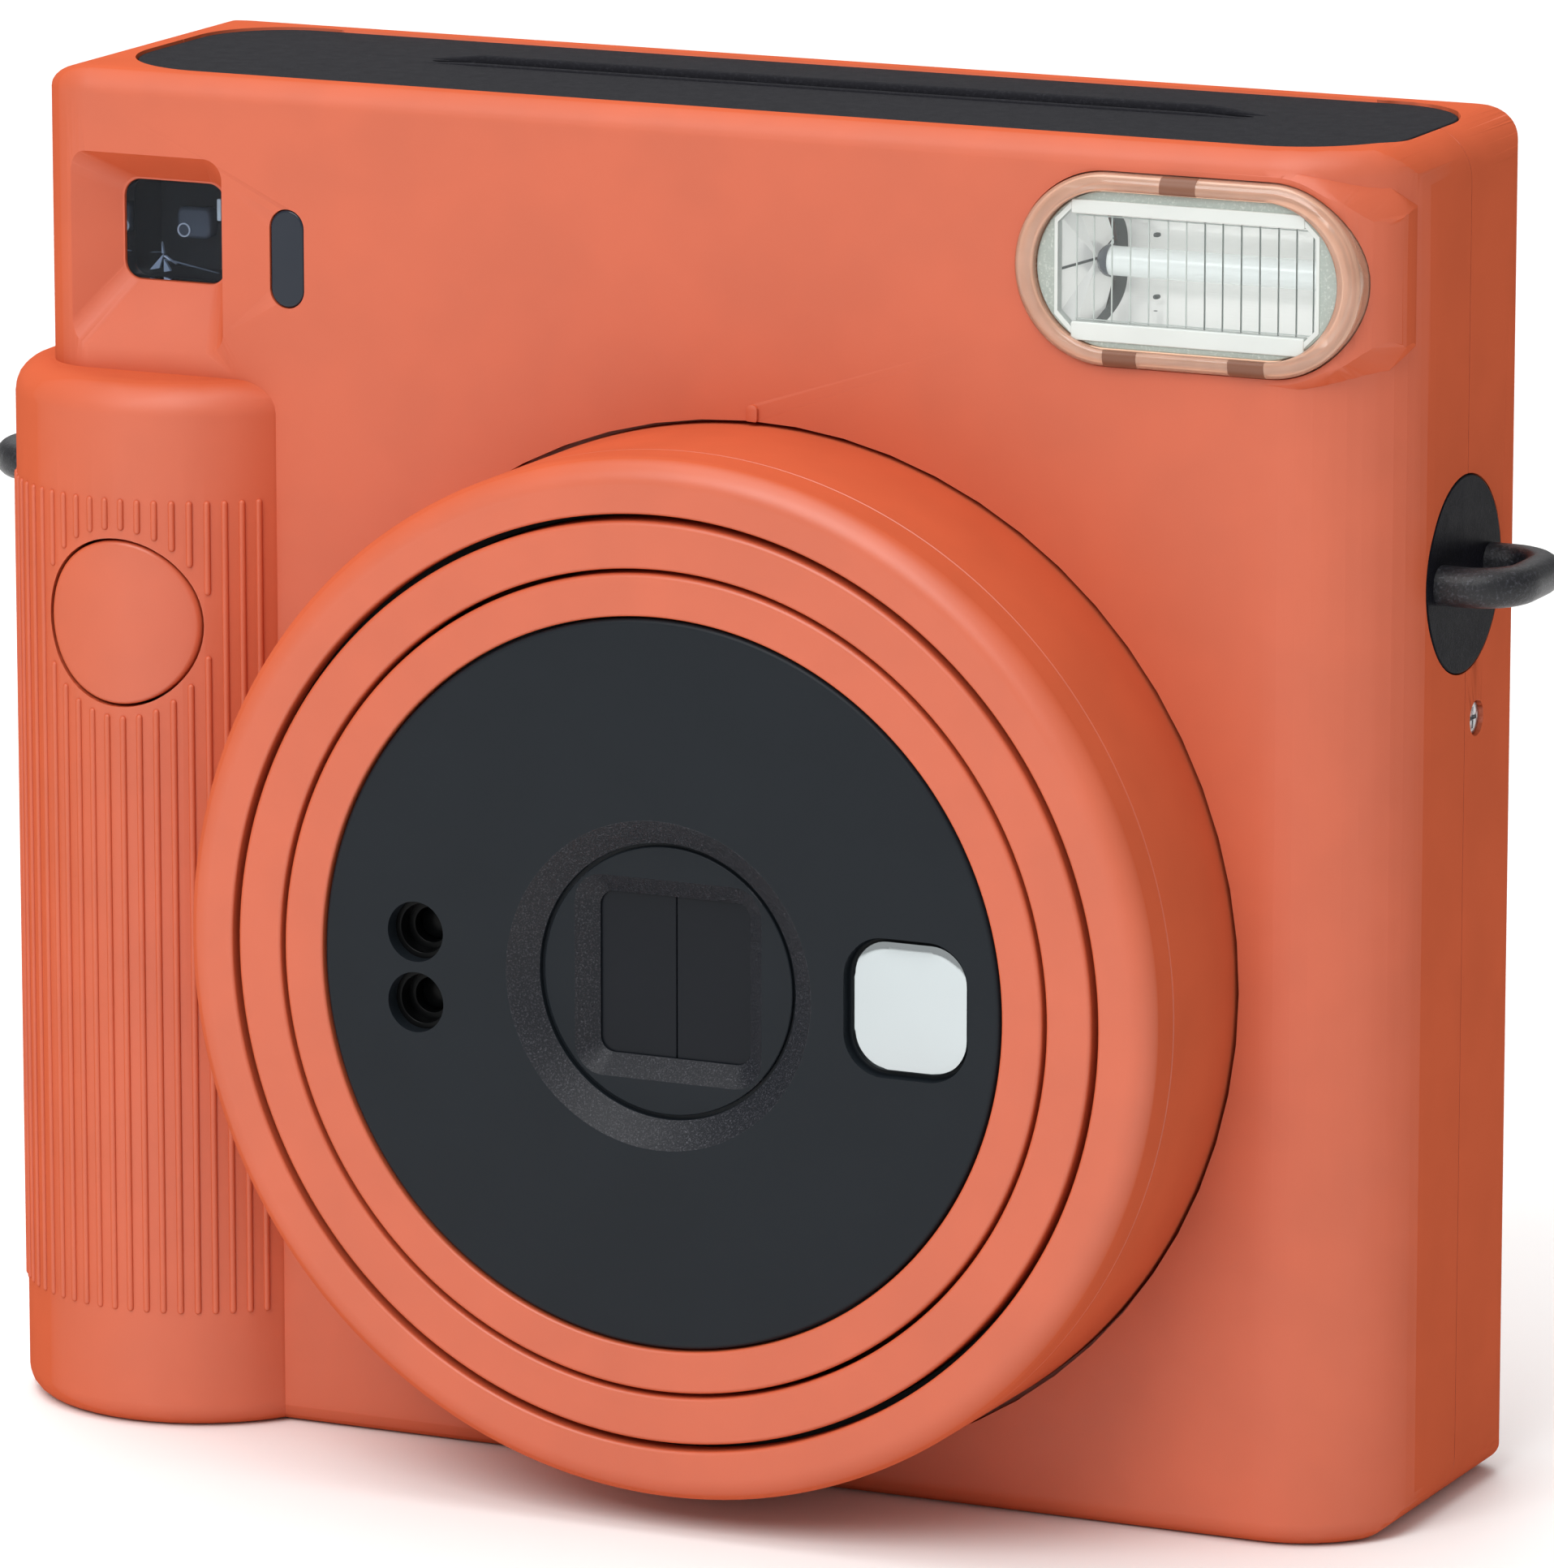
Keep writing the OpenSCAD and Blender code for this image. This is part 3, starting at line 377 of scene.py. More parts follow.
class Recipe:
    """A node material on a Principled shader, with its own small set of building steps."""

    def __init__(self, name, colour, roughness, metallic=0.0, specular=0.5):
        self.colour = srgb(*colour)
        self.roughness = roughness
        self.material = bpy.data.materials.new(name)
        self.material.use_nodes = True
        self.tree = self.material.node_tree
        self.shader = self.tree.nodes["Principled BSDF"]
        self.set("Base Color", self.colour)
        self.set("Roughness", roughness)
        self.set("Metallic", metallic)
        self.set("Specular IOR Level", specular)
        self.coords = self.node("TexCoord").outputs["Object"]
        self.bump = None

    def node(self, kind, inputs=None, **values):
        return add_node(self.tree, kind, inputs, **values)

    def set(self, socket, value):
        self.shader.inputs[socket].default_value = value

    def link(self, output, target):
        self.tree.links.new(output, target)

    def noise(self, size_mm, detail=3.0, roughness=0.55, stretch=None):
        """A noise whose features are size_mm across, or longer along the axes of stretch."""
        made = self.node("TexNoise", {"Scale": 1 / (size_mm * MM), "Detail": detail,
                                      "Roughness": roughness})
        source = self.coords
        if stretch:
            mapping = self.node("Mapping", {"Scale": [1 / s for s in stretch]})
            self.link(source, mapping.inputs["Vector"])
            source = mapping.outputs["Vector"]
        self.link(source, made.inputs["Vector"])
        return made.outputs["Fac"]

    def relief(self, height, depth_mm):
        """Adds a bump of depth_mm driven by a height output."""
        made = self.node("Bump", {"Distance": depth_mm * MM, "Strength": 1.0})
        self.link(height, made.inputs["Height"])
        if self.bump:
            self.link(self.bump, made.inputs["Normal"])
        self.bump = made.outputs["Normal"]
        self.link(self.bump, self.shader.inputs["Normal"])

    def vary_roughness(self, height, spread):
        made = self.ranged(height, {"To Min": max(self.roughness - spread, 0.02),
                                    "To Max": min(self.roughness + spread, 1.0)})
        self.link(made, self.shader.inputs["Roughness"])

    def ranged(self, height, ends):
        """A height output taken from one range to another, each from 0 to 1 unless ends say."""
        made = self.node("MapRange", ends)
        self.link(height, made.inputs["Value"])
        return made.outputs["Result"]

    def gloss_head_on(self, level):
        """Gloss that is strong seen head on and fades at a glancing look, as on a matt coat."""
        weight = self.node("LayerWeight")
        fade = self.ranged(weight.outputs["Facing"], {"From Min": 0.1, "From Max": 0.55,
                                                      "To Min": level, "To Max": 0.0})
        self.link(fade, self.shader.inputs["Specular IOR Level"])

    def vary_colour(self, height, other, low=0.35, high=0.65):
        """Mixes the base colour towards another where the height output is high."""
        reach = self.ranged(height, {"From Min": low, "From Max": high})
        mix = self.node("Mix", {"A": self.colour, "B": other}, data_type="RGBA")
        self.link(reach, mix.inputs["Factor"])
        self.link(mix.outputs["Result"], self.shader.inputs["Base Color"])


def moulded(name, colour, roughness, grain_mm=0.5, depth_mm=0.006, specular=0.5, head_on=0.0):
    """Moulded plastic: fine grain, slow colour drift and uneven gloss."""
    recipe = Recipe(name, colour, roughness, specular=specular)
    if head_on > 0:
        recipe.gloss_head_on(head_on)
    recipe.relief(recipe.noise(grain_mm, 4.0), depth_mm)
    recipe.vary_roughness(recipe.noise(4.0, 2.0), 0.05)
    darker = tuple(c * 0.94 for c in recipe.colour[:3]) + (1.0,)
    recipe.vary_colour(recipe.noise(9.0, 2.0), darker)
    return recipe.material


def grained(name, colour, roughness, grain_mm, depth_mm, sparkle, specular=0.5):
    """Blasted or spark-eroded plastic: hard grain whose tops catch the light."""
    recipe = Recipe(name, colour, roughness, specular=specular)
    grain = recipe.noise(grain_mm, 6.0, 0.7)
    recipe.relief(grain, depth_mm)
    recipe.vary_colour(grain, srgb(*sparkle), 0.52, 0.78)
    recipe.vary_roughness(recipe.noise(1.5, 2.0), 0.06)
    return recipe.material


def metal(name, colour, roughness, stretch=(12, 1, 1), depth_mm=0.002, metallic=1.0, painted_glow=0.0):
    # painted_glow is emission that paints light onto a part that is no lamp
    recipe = Recipe(name, colour, roughness, metallic=metallic)
    recipe.set("Emission Color", recipe.colour)
    recipe.set("Emission Strength", painted_glow)
    lines = recipe.noise(0.25, 3.0, 0.6, stretch)
    recipe.relief(lines, depth_mm)
    recipe.vary_roughness(lines, 0.08)
    return recipe.material


def clear(name, tint, haze_colour, haze, roughness=0.05, ior=1.49):
    """Clear plastic seen as a thin part: what lies behind shows through, under a Fresnel gloss."""
    recipe = Recipe(name, haze_colour, roughness)
    recipe.relief(recipe.noise(1.5, 2.0), 0.002)
    through = recipe.node("BsdfTransparent", {"Color": tint})
    gloss = recipe.node("BsdfGlossy", {"Roughness": roughness})
    recipe.link(recipe.bump, gloss.inputs["Normal"])
    fresnel = recipe.node("Fresnel", {"IOR": ior})
    cloud = recipe.ranged(recipe.noise(3.0, 2.0), {"To Min": haze * 0.8, "To Max": haze * 1.2})
    body = recipe.node("MixShader")
    recipe.link(cloud, body.inputs["Fac"])
    recipe.link(through.outputs["BSDF"], body.inputs[1])
    recipe.link(recipe.shader.outputs["BSDF"], body.inputs[2])
    whole = recipe.node("MixShader")
    recipe.link(fresnel.outputs["Fac"], whole.inputs["Fac"])
    recipe.link(body.outputs["Shader"], whole.inputs[1])
    recipe.link(gloss.outputs["BSDF"], whole.inputs[2])
    recipe.link(whole.outputs["Shader"], recipe.tree.nodes["Material Output"].inputs["Surface"])
    return recipe.material


def layered(name, colour, roughness, other, size_mm, low, high):
    """A moulded finish with patches of another colour."""
    recipe = Recipe(name, colour, roughness)
    patches = recipe.noise(size_mm, 3.0)
    recipe.vary_colour(patches, srgb(*other), low, high)
    recipe.vary_roughness(patches, 0.08)
    recipe.relief(recipe.noise(0.4, 3.0), 0.004)
    return recipe.material


ORANGE = (194, 92, 61)

looks = {
    "shell": moulded("orange_moulded", ORANGE, 0.52, head_on=0.6),
    "ring": moulded("orange_turned", ORANGE, 0.42, head_on=0.65),
    "panel": grained("black_grained", (28, 28, 32), 0.55, 0.3, 0.05, (48, 48, 53), 0.03),
    "lens_black": moulded("satin_black", (24, 29, 34), 0.45, 0.3, 0.004, 0.17),
    "blasted": grained("blasted_black", (27, 29, 34), 0.3, 0.16, 0.05, (94, 94, 101), 0.24),
    "inner_black": moulded("flat_black", (24, 25, 26), 0.7, 0.6, 0.01, 0.25),
    "lug": grained("nylon_black", (18, 18, 23), 0.4, 0.28, 0.03, (36, 36, 43), 0.02),
    "lug_bar": grained("nylon_bar", (20, 21, 25), 0.32, 0.3, 0.06, (74, 74, 82), 0.4),
    "dark_glass": moulded("dark_glass", (16, 18, 22), 0.08, 1.2, 0.001, 0.4),
    "smoked": moulded("smoked_window", (32, 38, 48), 0.2, 1.0, 0.003, 0.3),
    "steel": metal("zinc_steel", (190, 192, 194), 0.3),
    "ground_steel": metal("ground_steel", (205, 207, 209), 0.22, (1, 12, 12)),
    "nickel": metal("nickel_spring", (205, 204, 198), 0.26, (1, 1, 12)),
    "brass": metal("machined_brass", (206, 172, 100), 0.28, (1, 6, 6)),
    "mirror": metal("polished_mirror", (184, 191, 193), 0.04, (1, 1, 1), 0.0001),
    # The reflector's emission is a painted glow that stands in for the light the trough gathers
    "reflector": metal("reflector_painted_glow", (246, 245, 243), 0.2, (20, 1, 1), 0.02, 0.3,
                       0.14),
    "gear": moulded("natural_acetal", (228, 223, 208), 0.38, 0.4, 0.004),
    "board": layered("circuit_board", (30, 92, 58), 0.3, (44, 118, 74), 1.6, 0.48, 0.52),
    "capacitor": moulded("capacitor_sleeve", (26, 36, 54), 0.25, 2.0, 0.01),
    "coil": metal("varnished_winding", (150, 84, 44), 0.35, (1, 1, 0.1), 0.03),
    "cell": layered("cell_wrap", (62, 76, 92), 0.28, (50, 62, 76), 6.0, 0.4, 0.6),
    "foam": grained("seal_foam", (22, 22, 22), 0.95, 0.35, 0.12, (40, 40, 40), 0.2),
    "pack": grained("cassette_black", (34, 34, 36), 0.5, 0.4, 0.03, (48, 48, 50), 0.3),
    "flash_rim": clear("clear_rim", (1.0, 0.97, 0.94, 1), (242, 190, 162), 0.45, 0.06, 1.4),
    "flash_pane": clear("clear_pane", (0.99, 1.0, 1.0, 1), (236, 242, 238), 0.04, 0.03, 1.3),
    "frosted": grained("frosted_silver", (160, 169, 162), 0.42, 0.22, 0.05,
                       (206, 212, 204), 0.4),
    "white": moulded("white_diffuser", (208, 213, 209), 0.35, 0.6, 0.01, 0.3),
    # The tube's emission is a painted glow: the tube is not lit
    "tube": metal("tube_glass", (240, 244, 243), 0.08, (12, 1, 1), 0.002, 0.0, 0.08),
    "tube_end": moulded("tube_electrode", (52, 60, 74), 0.2, 0.8, 0.01),
    # A dark look for painted shade in the flash reflector's gap and along its folds
    "facet_line": moulded("shadow_line", (58, 64, 66), 0.5, 0.8, 0.005, 0.2),
    # A mid grey that paints the shaded side of the flash pane's prism lines
    "rib_line": moulded("prism_line_shade", (140, 150, 146), 0.4, 0.8, 0.005, 0.2),
    "clip": moulded("clip_brown", (122, 82, 64), 0.35, 0.8, 0.01, 0.3),
    # Pale lips paint highlights on the clear rim's edges; the darker lip paints shade in it
    "rim_light": moulded("rim_highlight_lip", (246, 204, 176), 0.3, 0.6, 0.004, 0.3),
    "rim_dark": moulded("rim_shadow", (190, 124, 94), 0.4, 0.6, 0.004, 0.2),
    "finder_pane": clear("finder_pane", (0.86, 0.9, 0.96, 1), (52, 60, 72), 0.03, 0.03, 1.18),
    "finder_lens": moulded("finder_lens", (70, 76, 84), 0.2, 1.0, 0.002, 0.3),
    "pale_mark": moulded("pale_mark", (226, 230, 234), 0.4, 0.6, 0.002, 0.2),
    "prism": moulded("prism_edges", (150, 160, 172), 0.12, 0.8, 0.002, 0.6),
    "amber": clear("amber_window", (0.72, 0.46, 0.08, 1), (176, 126, 34), 0.35, 0.06),
    "lens_glass": clear("coated_lens", (0.80, 0.86, 0.95, 1), (96, 110, 150), 0.08, 0.02),
    # A black darker than the other black parts: painted shade for the sensor wells and their lenses
    "well": moulded("well_painted_shade_black", (9, 10, 11), 0.3, 0.5, 0.003, 0.1),
    "blade": moulded("blade_black", (22, 25, 30), 0.36, 0.4, 0.002, 0.14),
    "rubber": grained("eyecup_rubber", (34, 35, 37), 0.55, 0.3, 0.02, (46, 47, 49), 0.25),
}

# ---- camera, light and floor ----


def set_camera():
    """A long lens to the right of and above the object's front."""
    azimuth, elevation = math.radians(24.92), math.radians(12.19)
    distance, mid_depth, mid_height = 934.2, 16, 59
    sideways, lift = 2.71, -1.45
    back = Vector((math.sin(azimuth) * math.cos(elevation),
                   -math.cos(azimuth) * math.cos(elevation), math.sin(elevation)))
    right = Vector((math.cos(azimuth), math.sin(azimuth), 0))
    up = back.cross(right)
    target = Vector((0, mid_depth + FACE_Y, mid_height)) + right * sideways + up * lift
    data = bpy.data.cameras.new("camera")
    data.sensor_fit = "VERTICAL"
    data.sensor_height = 36
    data.lens = 248.5
    data.clip_start, data.clip_end = 0.05, 20
    camera = new_object("camera", data)
    rotation = Matrix((right, up, back)).transposed()
    camera.matrix_world = Matrix.Translation((target + back * distance) * MM) @ rotation.to_4x4()
    bpy.context.scene.camera = camera


def area_light(name, place_m, aim_m, size_m, watts):
    data = bpy.data.lights.new(name, "AREA")
    data.shape = "RECTANGLE"
    data.size, data.size_y = size_m
    data.energy = watts
    lamp = new_object(name, data)
    aim = Vector(aim_m) - Vector(place_m)
    lamp.matrix_world = (Matrix.Translation(place_m)
                         @ aim.to_track_quat("-Z", "Y").to_matrix().to_4x4())


def set_world():
    """A plain soft surround, brighter above and in front than behind."""
    world = bpy.data.worlds.new("studio")
    world.use_nodes = True
    tree = world.node_tree
    toward_key = add_node(tree, "VectorMath", {1: Vector((-0.15, -0.6, 0.6)).normalized()},
                          operation="DOT_PRODUCT")
    strength = add_node(tree, "MapRange", {"From Min": -1, "To Min": 0.22, "To Max": 0.6})
    background = tree.nodes["Background"]
    background.inputs["Color"].default_value = (1, 1, 1, 1)
    for output, target in (
            (add_node(tree, "TexCoord").outputs["Generated"], toward_key.inputs[0]),
            (toward_key.outputs["Value"], strength.inputs["Value"]),
            (strength.outputs["Result"], background.inputs["Strength"])):
        tree.links.new(output, target)
    bpy.context.scene.world = world


def set_studio():
    """Soft lights over the front, over the top and on the floor behind, and a pale floor."""
    centre = (0, 0, 0.06)
    area_light("key_softbox", (-0.08, -0.95, 0.95), centre, (0.8, 0.8), 10.8)
    area_light("top_softbox", (-0.1, -0.1, 1.2), centre, (1.2, 0.8), 8)
    area_light("floor_softbox", (-0.5, 1.0, 1.0), (-0.45, 1.0, 0), (1.2, 1.2), 7)
    set_world()
    bpy.context.scene.view_settings.view_transform = "Standard"
    reach, height = 3.0 / MM, cad_low.z / MM
    floor = piece_from("floor", [(x, y - FACE_Y, height) for x, y in (
        (-reach, -reach), (reach, -reach), (reach, reach), (-reach, reach))], [(0, 1, 2, 3)])
    place(floor.data)
    recipe = Recipe("pale_floor", (248, 248, 247), 0.6)
    recipe.relief(recipe.noise(2.0), 0.01)
    recipe.vary_roughness(recipe.noise(60.0), 0.06)
    floor.data.materials.append(recipe.material)


set_camera()
set_studio()

# ---- shells ----


def tidy_cad(name, look, bevel_mm):
    """Gives a carried-over CAD node its look, with welded, softened and smooth edges."""
    piece = NODES[name]
    piece.data.materials.clear()
    piece.data.materials.append(looks[look])
    weld = piece.modifiers.new("weld", "WELD")
    weld.merge_threshold = 0.002 * MM
    soften(piece, bevel_mm)
    even_shading(piece)
    for polygon in piece.data.polygons:
        polygon.use_smooth = True


# ---- lens: rings, black front, barrier ----

FRONT = -RING_PROUD
BACK = 5.0
DIAL_R, DIAL_HOLE_R = 44.6, 40.0
OUTER_R, OUTER_HOLE_R = 39.4, 35.4
INNER_R, INNER_HOLE_R = 35.0, 31.4
DISC_R = 31.2
DISC_FRONT = FRONT + 0.15
CONE_FLOOR = DISC_FRONT + 2.0
CONE_R, CONE_FOOT_R = 14.1, 11.85
HOOD_HALF = 6.95
HOOD_SLOPE, HOOD_DEPTH = 1.7, 1.5
EYE_R = 2.6
BLADE_Y = node_depths("barrier_left")[0]
MIRROR_LOW, MIRROR_HIGH = node_box("selfie_mirror")
mirror_outline = box_outline(MIRROR_LOW, MIRROR_HIGH, 3.2, 12)


def make_dial():
    """The turning ring, with its fine parting line and the flange behind the shell."""
    line, flange_r, wall_r = FRONT + 5.2, 45.7, 42.4
    ring = lathe("dial_ring", rounded(
        [(DIAL_HOLE_R, FRONT), (DIAL_R, FRONT), (DIAL_R, line - 0.12), (DIAL_R - 0.16, line),
         (DIAL_R, line + 0.12), (DIAL_R, 1.9), (flange_r, 1.9), (flange_r, 3.5), (wall_r, 3.5),
         (wall_r, FRONT + 2), (DIAL_HOLE_R, FRONT + 2)],
        [0.3, 2.2, 0, 0, 0, 0, 0, 0, 0, 0, 0], 8), segments=256)
    finish_piece(ring, "ring", "orange_ring", "lens_dial", body="lens_dial")


def make_barrels():
    """The two rings that slide out, each with a front lip and a thinner wall behind it."""
    wall_r = 37.6
    outer = lathe("outer_barrel_ring", rounded(
        [(OUTER_HOLE_R, FRONT), (OUTER_R, FRONT), (OUTER_R, BACK), (wall_r, BACK),
         (wall_r, FRONT + 1.8), (OUTER_HOLE_R, FRONT + 1.8)], [0.3, 0.4, 0.2, 0, 0, 0], 5),
        segments=224)
    finish_piece(outer, "ring", "orange_ring", "outer_barrel", body="outer_barrel")
    flange_r, wall_r = 37.5, 33.4
    inner = lathe("inner_barrel_ring", rounded(
        [(INNER_HOLE_R, FRONT), (INNER_R, FRONT), (INNER_R, 3.0), (flange_r, 3.0),
         (flange_r, BACK), (wall_r, BACK), (wall_r, FRONT + 1.6), (INNER_HOLE_R, FRONT + 1.6)],
        [0.25, 0.38, 0, 0, 0.2, 0, 0, 0], 5), segments=224)
    finish_piece(inner, "ring", "orange_ring", "inner_barrel", body="inner_barrel")


def hood_outline(half, radius):
    return rounded_rect(LENS_X - half, LENS_X + half, LENS_Z - half, LENS_Z + half, radius)


def hood_cutter():
    """The square opening over the lens, with its sloping sides."""
    above = 0.4
    wider = HOOD_SLOPE * above / HOOD_DEPTH
    low = CONE_FLOOR + HOOD_DEPTH
    return loft("hood_cutter", [
        (hood_outline(HOOD_HALF + HOOD_SLOPE + wider, 2.9), CONE_FLOOR - above),
        (hood_outline(HOOD_HALF, 1.3), low), (hood_outline(HOOD_HALF, 1.3), low + 2)])


def eye_places():
    """Centres of the upper and the lower sensor opening."""
    lenses_low, lenses_high = node_box("sensor_lenses")
    x = (lenses_low.x + lenses_high.x) / 2
    reach = (lenses_high.x - lenses_low.x) / 2
    return [(x, lenses_low.z + reach), (x, lenses_high.z - reach)]


def make_face_disc():
    """The black front: a flat disc, a blasted cone, a groove and the blasted square hood."""
    floor_r, groove, rim_r, stem_r = 11.5, 0.45, 33.3, 16.5
    back = BLADE_Y - 0.1
    disc = lathe("lens_front", rounded(
        [(0, CONE_FLOOR), (floor_r, CONE_FLOOR), (floor_r, CONE_FLOOR + groove),
         (CONE_FOOT_R, CONE_FLOOR + groove), (CONE_FOOT_R, CONE_FLOOR - 0.1),
         (CONE_R, DISC_FRONT), (DISC_R, DISC_FRONT), (DISC_R, FRONT + 1.7), (rim_r, FRONT + 1.7),
         (rim_r, FRONT + 3.0), (stem_r, FRONT + 3.0), (stem_r, back), (0, back)],
        [0, 0.15, 0, 0, 0.08, 0.15, 0.45, 0, 0, 0, 0, 0, 0], 5), segments=160)
    eyes = [lathe("eye_cutter", [(0, FRONT - 1), (EYE_R, FRONT - 1), (EYE_R, 0), (0, 0)], centre,
                  64) for centre in eye_places()]
    pocket = plate("pocket_cutter", lambda inset: mirror_outline(inset - 0.45),
                   DISC_FRONT + 1.35, FRONT - 1, 0.3)
    cut(disc, hood_cutter(), pocket, *eyes)
    smooth_by_angle(disc, 30)
    middle = Vector((LENS_X, 0, LENS_Z))

    def sloping(centre, normal):
        flat = Vector((centre.x, 0, centre.z)) - middle
        inside = max(abs(flat.x), abs(flat.z)) < HOOD_HALF + HOOD_SLOPE + 0.1
        on_cone = CONE_FOOT_R + 0.01 < flat.length < CONE_R + 0.05 and normal.y > -0.97
        return on_cone or (inside and 0.2 < abs(normal.y) < 0.97 and centre.y < BLADE_Y - 0.2)

    paint_faces(disc, sloping)
    finish_piece(disc, ["lens_black", "blasted"], "lens_black", "face_disc", body="inner_barrel",
                 bevel_mm=0.07)


def make_sensor_eyes():
    """Stepped wells behind the two round openings, with a small lens at each bottom, both in a black
    darker than the other black parts as painted shade in the recesses.
    """
    outer_r, step_r, lens_r = EYE_R - 0.01, 2.1, 1.5
    top, step, foot = DISC_FRONT + 1.5, DISC_FRONT + 3.0, DISC_FRONT + 4.3
    dome_r = lens_r - 0.01
    wells, lenses = [], []
    for centre in eye_places():
        wells.append(lathe("well", rounded(
            [(outer_r, top), (step_r, top), (step_r, step), (lens_r, step), (lens_r, foot),
             (outer_r, foot)], [0, 0.08, 0, 0.08, 0, 0], 3), centre, 64))
        dome = [(dome_r * math.sin(a), foot - 0.4 * math.cos(a)) for a in quarter(6)]
        lenses.append(lathe("eye", dome + [(dome_r, foot + 0.4), (0, foot + 0.4)], centre, 48))
    finish_piece(join("sensor_wells", wells), "well", "lens_black", body="inner_barrel")
    finish_piece(join("sensor_eyes", lenses), "well", "dark_window", "sensor_lenses",
                 body="inner_barrel")


def make_mirror():
    """A slightly convex mirror with a fine edge."""
    y0, y1 = node_depths("selfie_mirror")
    centre = (MIRROR_LOW + MIRROR_HIGH) / 2

    def scaled(share):
        return [(centre.x + (x - centre.x) * share, centre.z + (z - centre.z) * share)
                for x, z in mirror_outline(0)]

    rings = [(scaled(s), y0 + 0.3 * s * s) for s in (0.02, 0.2, 0.4, 0.6, 0.75, 0.88, 0.97)]
    rings += [(scaled(0.995), y0 + 0.33), (scaled(1.0), y0 + 0.42), (scaled(1.0), y1)]
    finish_piece(loft("convex_mirror", rings), "mirror", "mirror_face", "selfie_mirror",
                 body="inner_barrel")


def make_barriers():
    """The two blades that meet over the lens."""
    for name in ("barrier_left", "barrier_right"):
        blade = plate(name + "_blade", box_outline(*node_box(name), 0.3, 3, 0),
                      *node_depths(name), 0.13, 0.05)
        finish_piece(blade, "blade", "lens_black", name, body=name)


# ---- grip: button and ribs ----

RIB_TOP, RIB_FOOT = 82.5, 10.4
RIB_R = 0.29
RIB_PITCH = 1.53
RIB_CLEAR_R = 8.15


def grip_depth(x):
    """Depth of the grip's curved front at a place across it."""
    reach = min(abs(x - GRIP_X), GRIP_R)
    return GRIP_Y - math.sqrt(GRIP_R ** 2 - reach ** 2)


def make_button():
    """A round key cut from the grip's own curved front, with a softened edge."""
    low, high = node_box("shutter_button")
    flange, stem_r, edge = 0.9, 2.0, 0.35
    flange_r = (high.x - low.x) / 2
    radius = flange_r - flange

    def ring(ring_r, drop, flat=None):
        out = []
        for k in range(96):
            a = 2 * math.pi * k / 96
            x = BUTTON.x + ring_r * math.cos(a)
            out.append((x, grip_depth(x) + drop if flat is None else flat,
                        BUTTON.z + ring_r * math.sin(a)))
        return out

    rings = [ring(r, 0) for r in [0.05] + [radius * k / 8 for k in range(1, 8)]]
    rings += [ring(radius - edge + edge * math.sin(a), edge * (1 - math.cos(a)))
              for a in quarter(5)]
    rings += [ring(radius, 0, 0.4), ring(flange_r, 0, 0.4), ring(flange_r, 0, 1.3),
              ring(stem_r, 0, 1.3), ring(stem_r, 0, 2.9)]
    finish_piece(skin("release_button", rings), "ring", "orange_ring", "shutter_button",
                 body="shutter_button")


def rib(x, y, normal, z0, z1):
    """A raised half-round bead from z0 to z1, with rounded ends, standing off a wall."""
    along = Vector((-normal.y, normal.x, 0))
    flatness = 0.8
    ends = [(RIB_R * (1 - math.cos(a)), max(math.sin(a), 0.08)) for a in quarter(4)]
    stations = [(z0 + rise, share) for rise, share in ends]
    stations += [(z1 - rise, share) for rise, share in reversed(ends)]
    arc = [math.radians(-25 + 230 * k / 8) for k in range(9)]
    return skin("rib", [
        [tuple(Vector((x, y, z)) + along * (RIB_R * share * math.cos(a))
               + normal * (RIB_R * share * math.sin(a) * flatness)) for a in arc]
        for z, share in stations], 60)


def make_ribs():
    """Beads round the grip, broken off round the button, and more of them on the battery door."""
    on_shell, on_door = [], []
    arc, last_arc = 13.05, -math.radians(76) * GRIP_R
    while arc > last_arc:
        a = arc / GRIP_R
        normal = Vector((math.sin(a), -math.cos(a), 0))
        x, y = GRIP_X + GRIP_R * normal.x, GRIP_Y + GRIP_R * normal.y
        reach = RIB_CLEAR_R ** 2 - (x - BUTTON.x) ** 2
        if reach > 0:
            half = math.sqrt(reach)
            on_shell.append(rib(x, y, normal, RIB_FOOT, BUTTON.z - half))
            on_shell.append(rib(x, y, normal, BUTTON.z + half, RIB_TOP))
        else:
            on_shell.append(rib(x, y, normal, RIB_FOOT, RIB_TOP))
        arc -= RIB_PITCH
    door_top, door_front = node_box("battery_door")[1].z, node_depths("battery_door")[0]
    outwards, wall_x = Vector((-1, 0, 0)), LEFT_X + 0.02
    for k in range(7):
        y = door_front + 1.3 + RIB_PITCH * k
        on_door.append(rib(wall_x, y, outwards, RIB_FOOT, door_top - 1.4))
        on_shell.append(rib(wall_x, y, outwards, door_top + 1.6, RIB_TOP))
    finish_piece(join("grip_ribs", on_shell), "shell", "orange_shell")
    finish_piece(join("battery_door_ribs", on_door), "shell", "orange_shell", body="battery_door")


# ---- flash ----

FLASH_W, FLASH_H = 31.0, 16.4
RIM_FRONT, RIM_EDGE, RIM_INNER_EDGE = -1.1, 0.9, 0.35
APERTURE_X, APERTURE_Z = 11.8, 5.5
TUBE_Y = 4.2


def flash_stadium(less, less_high=None):
    """An outline smaller than the flash's by a width and a height."""
    low_by = less if less_high is None else less_high
    return lambda inset: stadium(FLASH.x, FLASH.z, FLASH_W - less - 2 * inset,
                                 FLASH_H - low_by - 2 * inset, 28)


def flash_block(name, x, y, z, edge=0.1):
    """A block given from the flash's centre."""
    return slab(name, (FLASH.x + x[0], FLASH.x + x[1]), y, (FLASH.z + z[0], FLASH.z + z[1]), edge)


